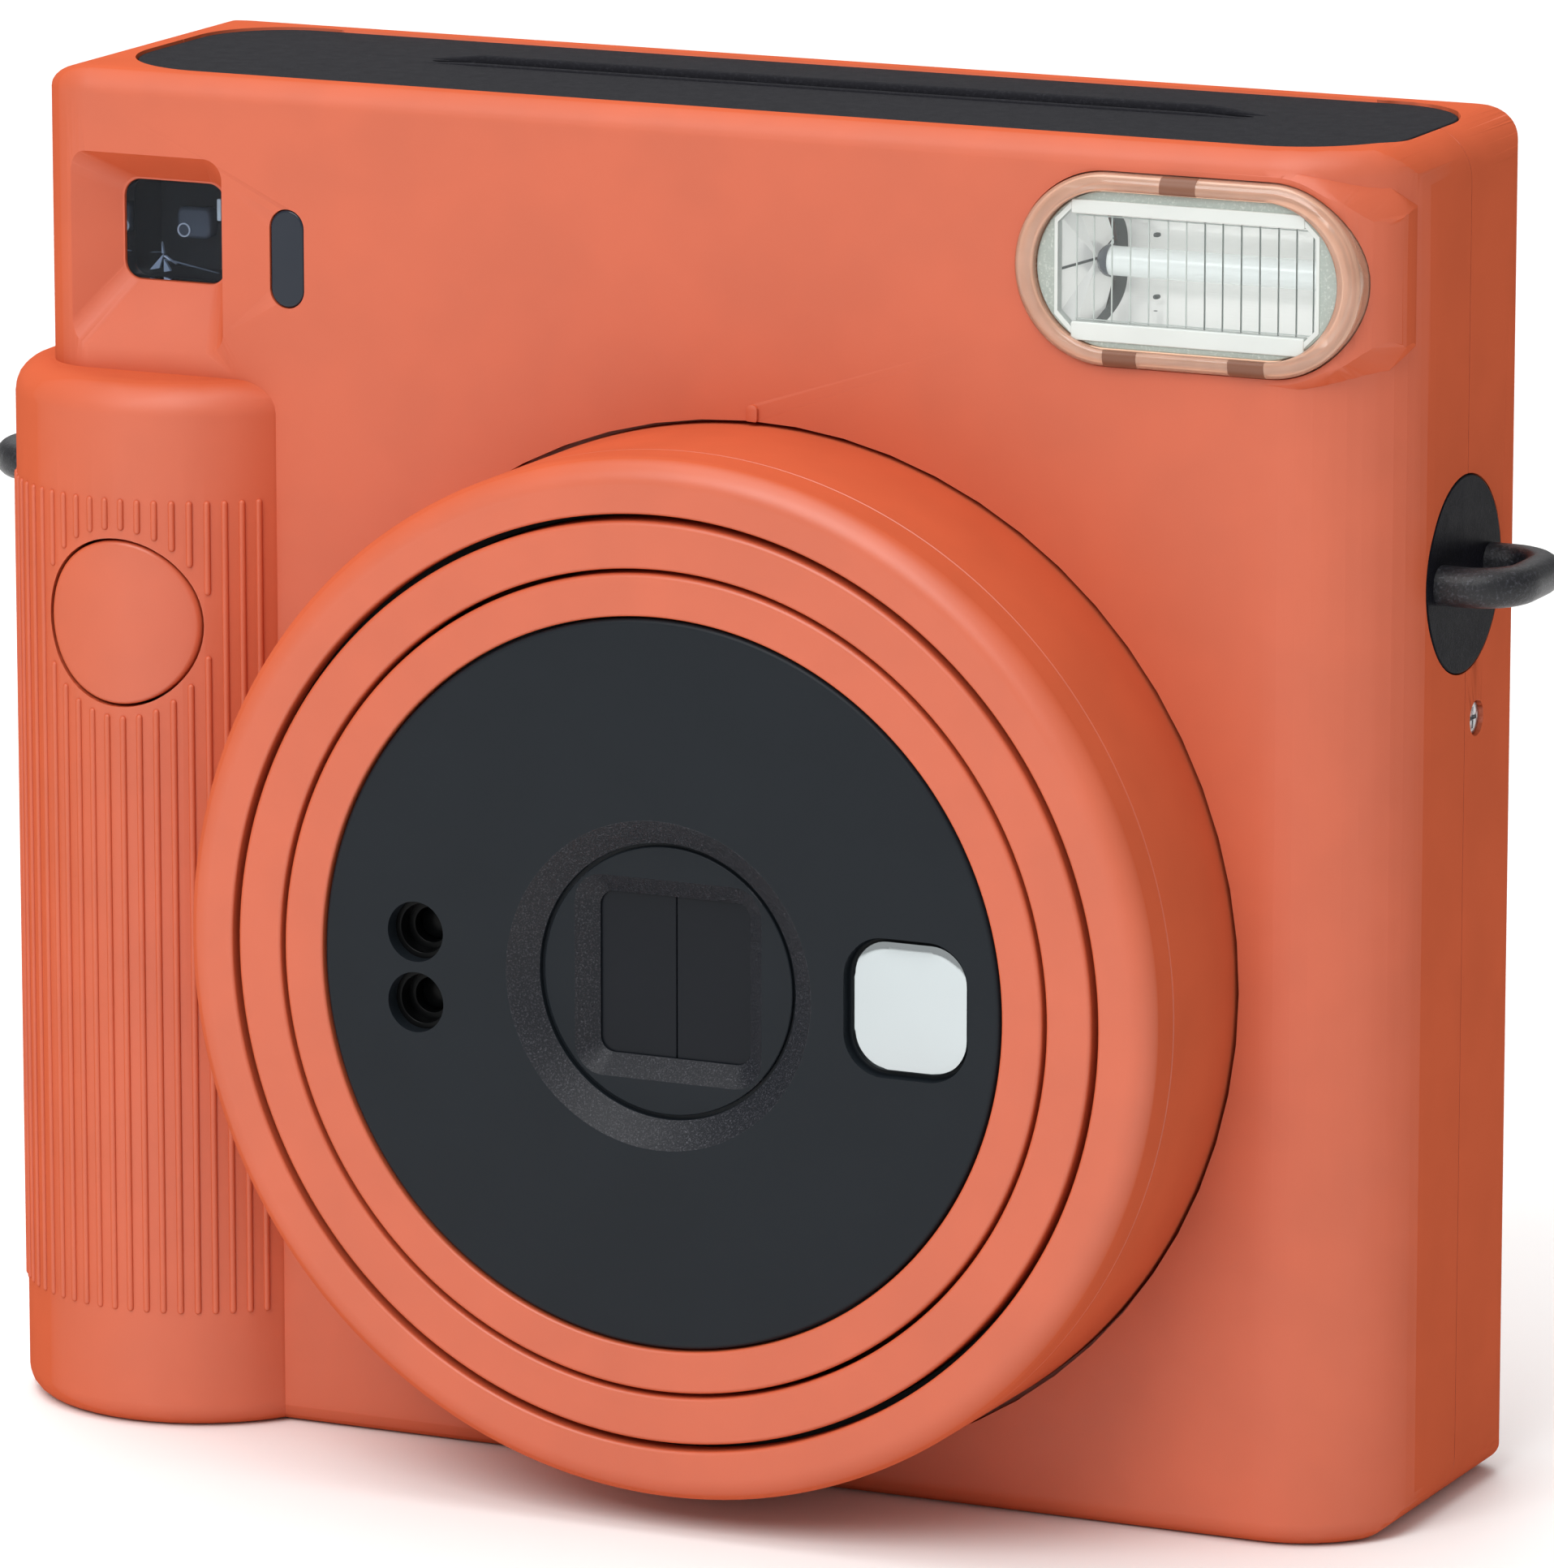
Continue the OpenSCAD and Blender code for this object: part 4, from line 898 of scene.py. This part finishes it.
def make_flash_rim():
    """The clear rim round the flash, fine lips in it coloured as painted highlights and painted
    shade, and its brown clips.
    """
    rim = ring_frame("clear_rim", flash_stadium(0.2), flash_stadium(4.0, 3.1), RIM_FRONT, 2.4,
                     RIM_EDGE, RIM_INNER_EDGE)
    finish_piece(rim, "flash_rim", "flash_rim", "flash_bezel")

    # Each lip is a thin frame whose colour paints a highlight line or a shade line in the rim
    def lip(less, y):
        return ring_frame("lip", flash_stadium(less), flash_stadium(less + 0.2), y, y + 1.2,
                          0.03, 0.03)

    finish_piece(join("rim_light_lips", [lip(0.7, -0.3), lip(3.1, -0.5)]), "rim_light",
                 "flash_rim")
    finish_piece(join("rim_dark_lips", [lip(2.2, 0.6)]), "rim_dark", "flash_rim")
    clips = [rim_clip(-2.2, 1.0, 1), rim_clip(-7.2, -4.2, -1), rim_clip(4.0, 7.2, -1)]
    finish_piece(join("rim_clips", clips), "clip", "lens_black")


def rim_clip(x0, x1, way):
    """A brown saddle over a straight part of the rim: way is 1 at the top and -1 at the foot."""
    lift, foot = 0.02, 0.6
    outer_z, inner_z = FLASH_H / 2 - 0.1 + lift, FLASH_H / 2 - 1.55 - lift
    front = RIM_FRONT - lift
    section = [(outer_z - inset, front + rise) for inset, rise in reversed(edge_steps(RIM_EDGE))]
    section += [(inner_z + inset, front + rise) for inset, rise in edge_steps(RIM_INNER_EDGE)]
    section += [(inner_z + 0.3, foot), (outer_z - 0.3, foot)]
    return skin("clip", [[(FLASH.x + x, y, FLASH.z + way * z) for z, y in section]
                         for x in (x0, x1)])


def aperture(inset):
    """The flash's opening, a rectangle with its corners cut off."""
    x, z, corner = APERTURE_X - inset, APERTURE_Z - inset, 1.5
    right = [(x - corner, -z), (x, corner - z), (x, z - corner), (x - corner, z)]
    left = [(-a, b) for a, b in reversed(right)]
    return [(FLASH.x + a, FLASH.z + b) for a, b in right + left]


def make_flash_mask():
    """The frosted silver surround with its cut-cornered opening."""
    mask = plate("flash_mask", flash_stadium(4.1, 3.2), -0.35, 0.5, 0.15)
    hole = loft("hole", [(aperture(0), -1), (aperture(0), 2)])
    cut(mask, hole)
    smooth_by_angle(mask, 30)
    finish_piece(mask, "frosted", "reflector_bright")
    rim = loft("rim", [(aperture(0), -0.42), (aperture(0.28), -0.42), (aperture(0.28), 0.5),
                       (aperture(0), 0.5)], closed=True)
    bands = [flash_block("band", (-10.3, 10.5), (-0.5, 0.6), (z0, z1), 0.12)
             for z0, z1 in ((4.55, 5.75), (-6.05, -4.5))]
    finish_piece(join("flash_bands", [rim] + bands), "white", "flash_clear")


def make_flash_pane():
    """The clear pane, with a row of fine prism lines moulded in its back, coloured as painted light:
    pale lines paint highlights, darker lines on the right half paint shade.
    """
    pane = plate("flash_pane", aperture, -0.3, 0.1, 0.05)
    finish_piece(pane, "flash_pane", "flash_clear", "flash_window")

    def line(x, z):
        return flash_block("line", x, (0.15, 0.3), z, 0.02)

    half = (-4.5, 4.5)
    # Painted light: the pale lines are painted highlights, the darker lines on the right painted
    # shade
    pale = [line((x, x + 0.1), half) for x in (-10.1, -8.55, -6.95, -5.3, -3.65, -1.95, -0.3)]
    dark = [line((x, x + 0.11), half) for x in (1.35, 2.95, 4.6, 6.25, 7.9, 9.5, 11.0)]
    cross = [line((-10.2, 11.2), (z, z + 0.1)) for z in (4.3, -4.4)]
    finish_piece(join("flash_highlight_lines", pale + cross), "white", "flash_clear")
    finish_piece(join("flash_shade_lines", dark), "rib_line", "flash_clear")


TROUGH_HALF, TROUGH_MOUTH, TROUGH_DEPTH = 5.2, 0.7, 6.3


def trough_section():
    """The trough's profile from its foot to its top: a parabola with a flatter bottom."""
    out = []
    for step in range(-16, 17):
        s = math.sin(math.pi / 2 * step / 16)
        out.append((TROUGH_HALF * s, TROUGH_MOUTH + TROUGH_DEPTH * (1 - abs(s) ** 4)))
    return out


def make_flash_reflector():
    """The trough, bright partly from a painted glow, its far end wall, and the folded facets at its
    near end.
    """
    gap_x, x0, x1 = FLASH.x - 9.35, FLASH.x - 8.35, FLASH.x + 11.7
    section = trough_section()
    inner = [(FLASH.z + z, y) for z, y in section]
    outer = [(FLASH.z + z * 1.04, y + 0.35) for z, y in reversed(section)]
    ring = inner + outer
    trough = skin("trough", [[(x, y, z) for z, y in ring] for x in (x0, x1)])
    wall = loft("wall", [([(y, z) for z, y in inner], x1), ([(y, z) for z, y in inner], x1 + 0.4)],
                view="side")
    left, knee, fold, mouth = -APERTURE_X, -9.3, 1.4 - APERTURE_X, TROUGH_MOUTH
    corners = [(FLASH.x + x, y, FLASH.z + z) for x, y, z in (
        (left, mouth, 4.1), (fold, mouth, 5.3), (knee, 4.0, 4.9), (knee, 6.2, 1.6),
        (knee, 6.2, -1.6), (knee, 4.0, -4.9), (fold, mouth, -5.3), (left, mouth, -4.1),
        (left, mouth, -0.4))]
    hub = (FLASH.x - 9.9, TUBE_Y, FLASH.z + 0.1)
    verts = corners + [hub] + [(x - 0.35, y + 0.35, z) for x, y, z in corners + [hub]]
    n = len(corners)
    faces = [(i, (i + 1) % n, n) for i in range(n)]
    faces += [(i + n + 1, n + 1 + (i + 1) % n, 2 * n + 1) for i in range(n)]
    faces += [(i, (i + 1) % n, n + 1 + (i + 1) % n, n + 1 + i) for i in range(n)]
    facets = piece_from("facets", verts, faces, 5)
    whole = join("flash_reflector_trough", [trough, wall, facets])
    smooth_by_angle(whole, 20)
    finish_piece(whole, "reflector", "reflector_bright", "flash_reflector")
    # The dark sheet in the gap and the lines along the folds are painted shade; the pins share their
    # look
    shadow = [skin("gap", [[(x, y, z) for z, y in ring] for x in (gap_x, x0)]),
              crease(corners[8], hub, 0.22), crease(corners[7], corners[5], 0.13),
              crease(corners[0], corners[2], 0.1), crease(hub, corners[3], 0.16),
              crease(hub, corners[4], 0.14)]
    for x in (-5.1, 9.5):
        shadow += [flash_block("pin", (x, x + 0.5), (4.6, 5.2), (z - 0.18, z + 0.18))
                   for z in (2.3, 4.2, -2.9, -4.2)]
    finish_piece(join("flash_shadow_gap", shadow), "facet_line", "lens_black")


def crease(start, end, width):
    """A thin dark line of painted shade laid just in front of a fold between two points."""
    a, b = Vector(start), Vector(end)
    lift = Vector((0, -0.12, 0))
    side = (b - a).cross(Vector((0, 1, 0))).normalized() * width / 2
    deep = Vector((0, 0.1, 0))
    rings = [[tuple(p + lift + s + d) for s, d in
              ((-side, deep * 0), (side, deep * 0), (side, deep), (-side, deep))]
             for p in (a, b)]
    return skin("crease", rings, 5)


def make_flash_tube():
    """The tube along the trough, with a dark rounded electrode cap at each end."""
    y, z = TUBE_Y, FLASH.z
    section = oval(2.5, 2.5, 32)
    tube = sweep("xenon_tube", [(FLASH.x + x, y, z) for x in (-8.6, 0, 12.5)], section)
    finish_piece(tube, "tube", "flash_tube_glass", "flash_tube")
    caps = []
    for x, way in ((-8.6, -1), (12.4, 1)):
        rings = []
        for k in range(6):
            width = 1.12 * math.sqrt(max(1 - (k / 5.2) ** 2, 0.02))
            rings.append([(FLASH.x + x + way * 1.2 * k / 5, y + s * width, z + u * width)
                          for s, u in section])
        caps.append(skin("cap", rings, 60))
    finish_piece(join("tube_ends", caps), "tube_end", "steel")


# ---- viewfinder, pill window, top panel ----


def make_finder_inside(low, high, centre, front):
    """What shows through the pane: a small lens with a ring mark, a baffle and a white sliver that
    paints a highlight on an edge.
    """
    lens_low = Vector((centre.x - 2.6, 0, centre.z - 1.5))
    lens_high = Vector((centre.x + 0.75, 0, centre.z + 1.3))
    lens = plate("finder_inner_lens", box_outline(lens_low, lens_high, 0.7, 6), front + 5.0,
                 front + 6.5, 0.35)
    finish_piece(lens, "finder_lens", "dark_window")
    gap = 0.12
    baffle = plate("finder_baffle", lambda inset: rounded_rect(
        low.x + gap + inset, high.x - gap - inset, low.z + gap + inset, high.z - gap - inset,
        1.2, 8), front + 6.2, front + 6.8, 0.02)
    finish_piece(baffle, "inner_black", "inner_black")
    near, far = front + 4.9, front + 5.05
    mark = lathe("finder_ring_mark", rounded([(0.5, near), (0.62, near), (0.62, far), (0.5, far)],
                                             0.02, 2), (centre.x - 1.85, centre.z - 0.75), 48)
    finish_piece(mark, "pale_mark", "steel")
    # A white sliver that paints a highlight on an edge inside the finder
    sliver = slab("finder_edge_highlight", (high.x - 1.75, high.x - 1.35), (front + 1.8, front + 2.1),
                  (centre.z + 0.85, centre.z + 2.75), 0.05)
    finish_piece(sliver, "white", "steel")


# Each row starts at (x, z) from the pane's centre, runs to a tip and is so wide at its start
FINDER_EDGES = ((-3.9, -4.0, 1.3, 1.5, 0.9), (-2.5, -4.1, -0.1, 1.1, 0.6),
                (-3.9, -2.5, 1.2, 0.1, 0.25), (-2.6, -2.7, 1.2, -0.7, 0.2),
                (-2.5, -3.0, 5.2, -0.9, 0.14), (-2.7, -2.5, -0.1, 1.0, 0.16))


def make_finder_edges(centre, front):
    """Thin bright wedges where the light catches the inside of the window."""
    shards = []
    for x, z, run, rise, wide in FINDER_EDGES:
        x, z = centre.x + x, centre.z + z
        tip = (x + run, front + 2.6, z + rise)
        verts = [(x, front + 2.4, z), (x + wide, front + 2.5, z + wide * 0.2), tip]
        verts += [(px, py + 0.3, pz) for px, py, pz in verts]
        shards.append(piece_from("shard", verts, [
            (0, 1, 2), (5, 4, 3), (0, 3, 4, 1), (1, 4, 5, 2), (2, 5, 3, 0)], 5))
    finish_piece(join("finder_prism_edges", shards), "prism", "dark_window")


def make_finder():
    """The dark pane in the recess and what shows through it."""
    low, high = node_box("viewfinder_lens")
    centre = (low + high) / 2
    front, back = node_depths("viewfinder_lens")
    pane = plate("finder_pane", box_outline(low, high, 1.4), front, back, 0.12)
    finish_piece(pane, "finder_pane", "dark_window", "viewfinder_lens")
    make_finder_inside(low, high, centre, front)
    make_finder_edges(centre, front)


def make_pill():
    """The dark window of the light sensor."""
    low, high = node_box("light_sensor_window")
    x, z = (low.x + high.x) / 2, (low.z + high.z) / 2

    def outline(inset):
        return stadium(x, z, high.x - low.x - 2 * inset, high.z - low.z - 2 * inset, 20)

    pill = plate("light_sensor_pane", outline, *node_depths("light_sensor_window"), 0.25)
    finish_piece(pill, "smoked", "smoked_window", "light_sensor_window")


def panel_outline(inset):
    low, high = node_box("top_panel")
    front, back = node_depths("top_panel")
    y0, y1 = front + inset, back - inset
    return rounded([(low.x + inset, y0), (high.x - inset, y0), (high.x - inset, y1),
                    (low.x + inset, y1)],
                   [10 - inset, 10 - inset, 8 - inset, 8 - inset], 20)


def tapered_outline(x0, x1, y, half, taper):
    """A long outline that narrows to a point at both ends."""
    near = [(x0 + taper * (1 - math.cos(a)), half * math.sin(a)) for a in quarter(8)]
    lower = [(x, y - h) for x, h in near] + [(x0 + x1 - x, y - h) for x, h in reversed(near)]
    upper = [(x, 2 * y - py) for x, py in reversed(lower[1:-1])]
    return lower + upper


SLOT_Y, SLOT_HALF, LIP_HALF = 17.6, 38.4, 39.2


def slot_lip(offset, half, rise, face):
    """A low rounded ridge beside the slot, which sinks into the panel towards its ends."""
    rings = [(tapered_outline(LENS_X - LIP_HALF, LENS_X + LIP_HALF, SLOT_Y + offset,
                              half * max(math.sin(a), 0.05), 5),
              face - 0.05 + rise * math.cos(a)) for a in quarter(5)]
    lip = loft("lip", rings, 60, view="top")
    for vertex in lip.data.vertices:
        from_end = LIP_HALF - abs(vertex.co.x - LENS_X)
        vertex.co.z = face + (vertex.co.z - face) * min(from_end / 6, 1)
    return lip


def make_top_panel():
    """The grained panel with the film slot cut in it and a lip on each side of the slot."""
    face = node_box("top_panel")[1].z
    panel = plate("top_cover_plate", panel_outline, face, face - 1.15, 0.22, view="top")
    slot = tapered_outline(LENS_X - SLOT_HALF, LENS_X + SLOT_HALF, SLOT_Y, 0.62, 3)
    cut(panel, loft("slot", [(slot, face + 1), (slot, face - 3)], view="top"))
    smooth_by_angle(panel, 30)
    lips = [slot_lip(1.2, 0.55, 0.75, face), slot_lip(-1.0, 0.38, 0.3, face)]
    finish_piece(join("top_plate", [panel] + lips), "panel", "grained_black", "top_panel")


# ---- strap lugs ----


def corner_drop(y):
    """How far the shell's side falls back where it turns into the rounded front corner."""
    reach = max(CORNER_R - y, 0)
    return CORNER_R - math.sqrt(CORNER_R ** 2 - reach ** 2)


LUG_Y, LUG_Z = 18.1, 81.0
LUG_CAP_R, LUG_REACH = 8.38, 5.9


def lug_cap_outline(inset):
    turns = [2 * math.pi * k / 96 for k in range(96)]
    return [(LUG_Y + (LUG_CAP_R - inset) * math.cos(a), LUG_Z + (LUG_CAP_R - inset) * math.sin(a))
            for a in turns]


def make_lug(name, side):
    """A flush round cap with a U-shaped round bar."""
    wall_x = RIGHT_X * side
    cap = plate("cap", lug_cap_outline, wall_x + 0.05 * side, wall_x - 1.6 * side, 0.15,
                view="side")
    for vertex in cap.data.vertices:
        vertex.co.x -= side * corner_drop(vertex.co.y)
    half, bend = 5.6, 3.8
    path = [(-0.8, -half), (0.4, -half), (LUG_REACH - bend, -half)]
    path += [(LUG_REACH - bend + bend * math.sin(a), -half + bend - bend * math.cos(a))
             for a in quarter(8)[1:]]
    path += [(x, -y) for x, y in reversed(path)]
    points = [(wall_x + side * x, LUG_Y + 0.2 + y, LUG_Z) for x, y in path]
    bar = sweep("bar", points, oval(3.3, 3.4, 28, 2.2), 40)
    paint_faces(bar, lambda centre, normal: True)
    loop = join(name + "_loop", [cap, bar])
    finish_piece(loop, ["lug", "lug_bar"], "lug_black", name)


# ---- back: eyepiece ----


def make_eyepiece():
    """The rubber cup at the back, and the glass in it."""
    low, high = node_box("eyepiece_frame")
    back = node_depths("eyepiece_frame")[1]
    opening = box_outline(*centred_box((low + high) / 2, 4.0, 3.6), 1.4)
    cup = ring_frame("eyepiece_cup", box_outline(low, high, 3.0), opening, back, back - 6.8, 1.1,
                     0.6)
    finish_piece(cup, "rubber", "lens_black", "eyepiece_frame")
    inside, outside = node_depths("eyepiece_lens")
    glass = plate("eyepiece_glass", box_outline(*node_box("eyepiece_lens"), 1.35), outside,
                  inside, 0.3)
    finish_piece(glass, "dark_glass", "dark_window", "eyepiece_lens")


for make in (make_dial, make_barrels, make_face_disc, make_sensor_eyes, make_mirror,
             make_barriers, make_button, make_ribs, make_flash_rim, make_flash_mask,
             make_flash_pane, make_flash_reflector, make_flash_tube, make_finder, make_pill,
             make_top_panel):
    make()
make_lug("lug_right", 1)
make_lug("lug_left", -1)
make_eyepiece()

# ---- carried-over nodes ----

CARRIED = {
    "shell": (("front_cover", 0.3), ("rear_cover", 0.2), ("battery_door", 0.15),
              ("film_door", 0.3)),
    "steel": (("cover_screws", 0.05), ("battery_door_pin", 0.1), ("cam_pins", 0.1),
              ("roller_frame", 0.1), ("film_motor", 0.2), ("hinge_pin", 0.1)),
    "ground_steel": (("front_roller", 0.15), ("rear_roller", 0.15)),
    "nickel": (("battery_contacts", 0.1), ("shutter_switch", 0.1), ("door_springs", 0.05)),
    "brass": (("motor_pinion", 0.03),),
    "gear": (("front_roller_gear", 0.04), ("rear_roller_gear", 0.04), ("idler_gear", 0.04)),
    "inner_black": (("guide_sleeve", 0.1), ("light_tunnel", 0.1), ("film_gate", 0.2),
                    ("film_chamber", 0.2), ("viewfinder_tunnel", 0.05), ("battery_holder", 0.15),
                    ("lens_mount", 0.1), ("shutter_block", 0.05)),
    "lens_black": (("door_latch", 0.15),),
    "pack": (("film_pack", 0.3),),
    "capacitor": (("flash_capacitor", 0.6),),
    "coil": (("trigger_coil", 0.4),),
    "board": (("main_board", 0.05),),
    "cell": (("upper_battery", 0.4), ("lower_battery", 0.4)),
    "lens_glass": (("front_lens", 0.05), ("rear_lens", 0.05)),
    "amber": (("door_window", 0.2),),
    "foam": (("door_seal", 0.15),),
}
for look, rows in CARRIED.items():
    for node_name, bevel in rows:
        tidy_cad(node_name, look, bevel)
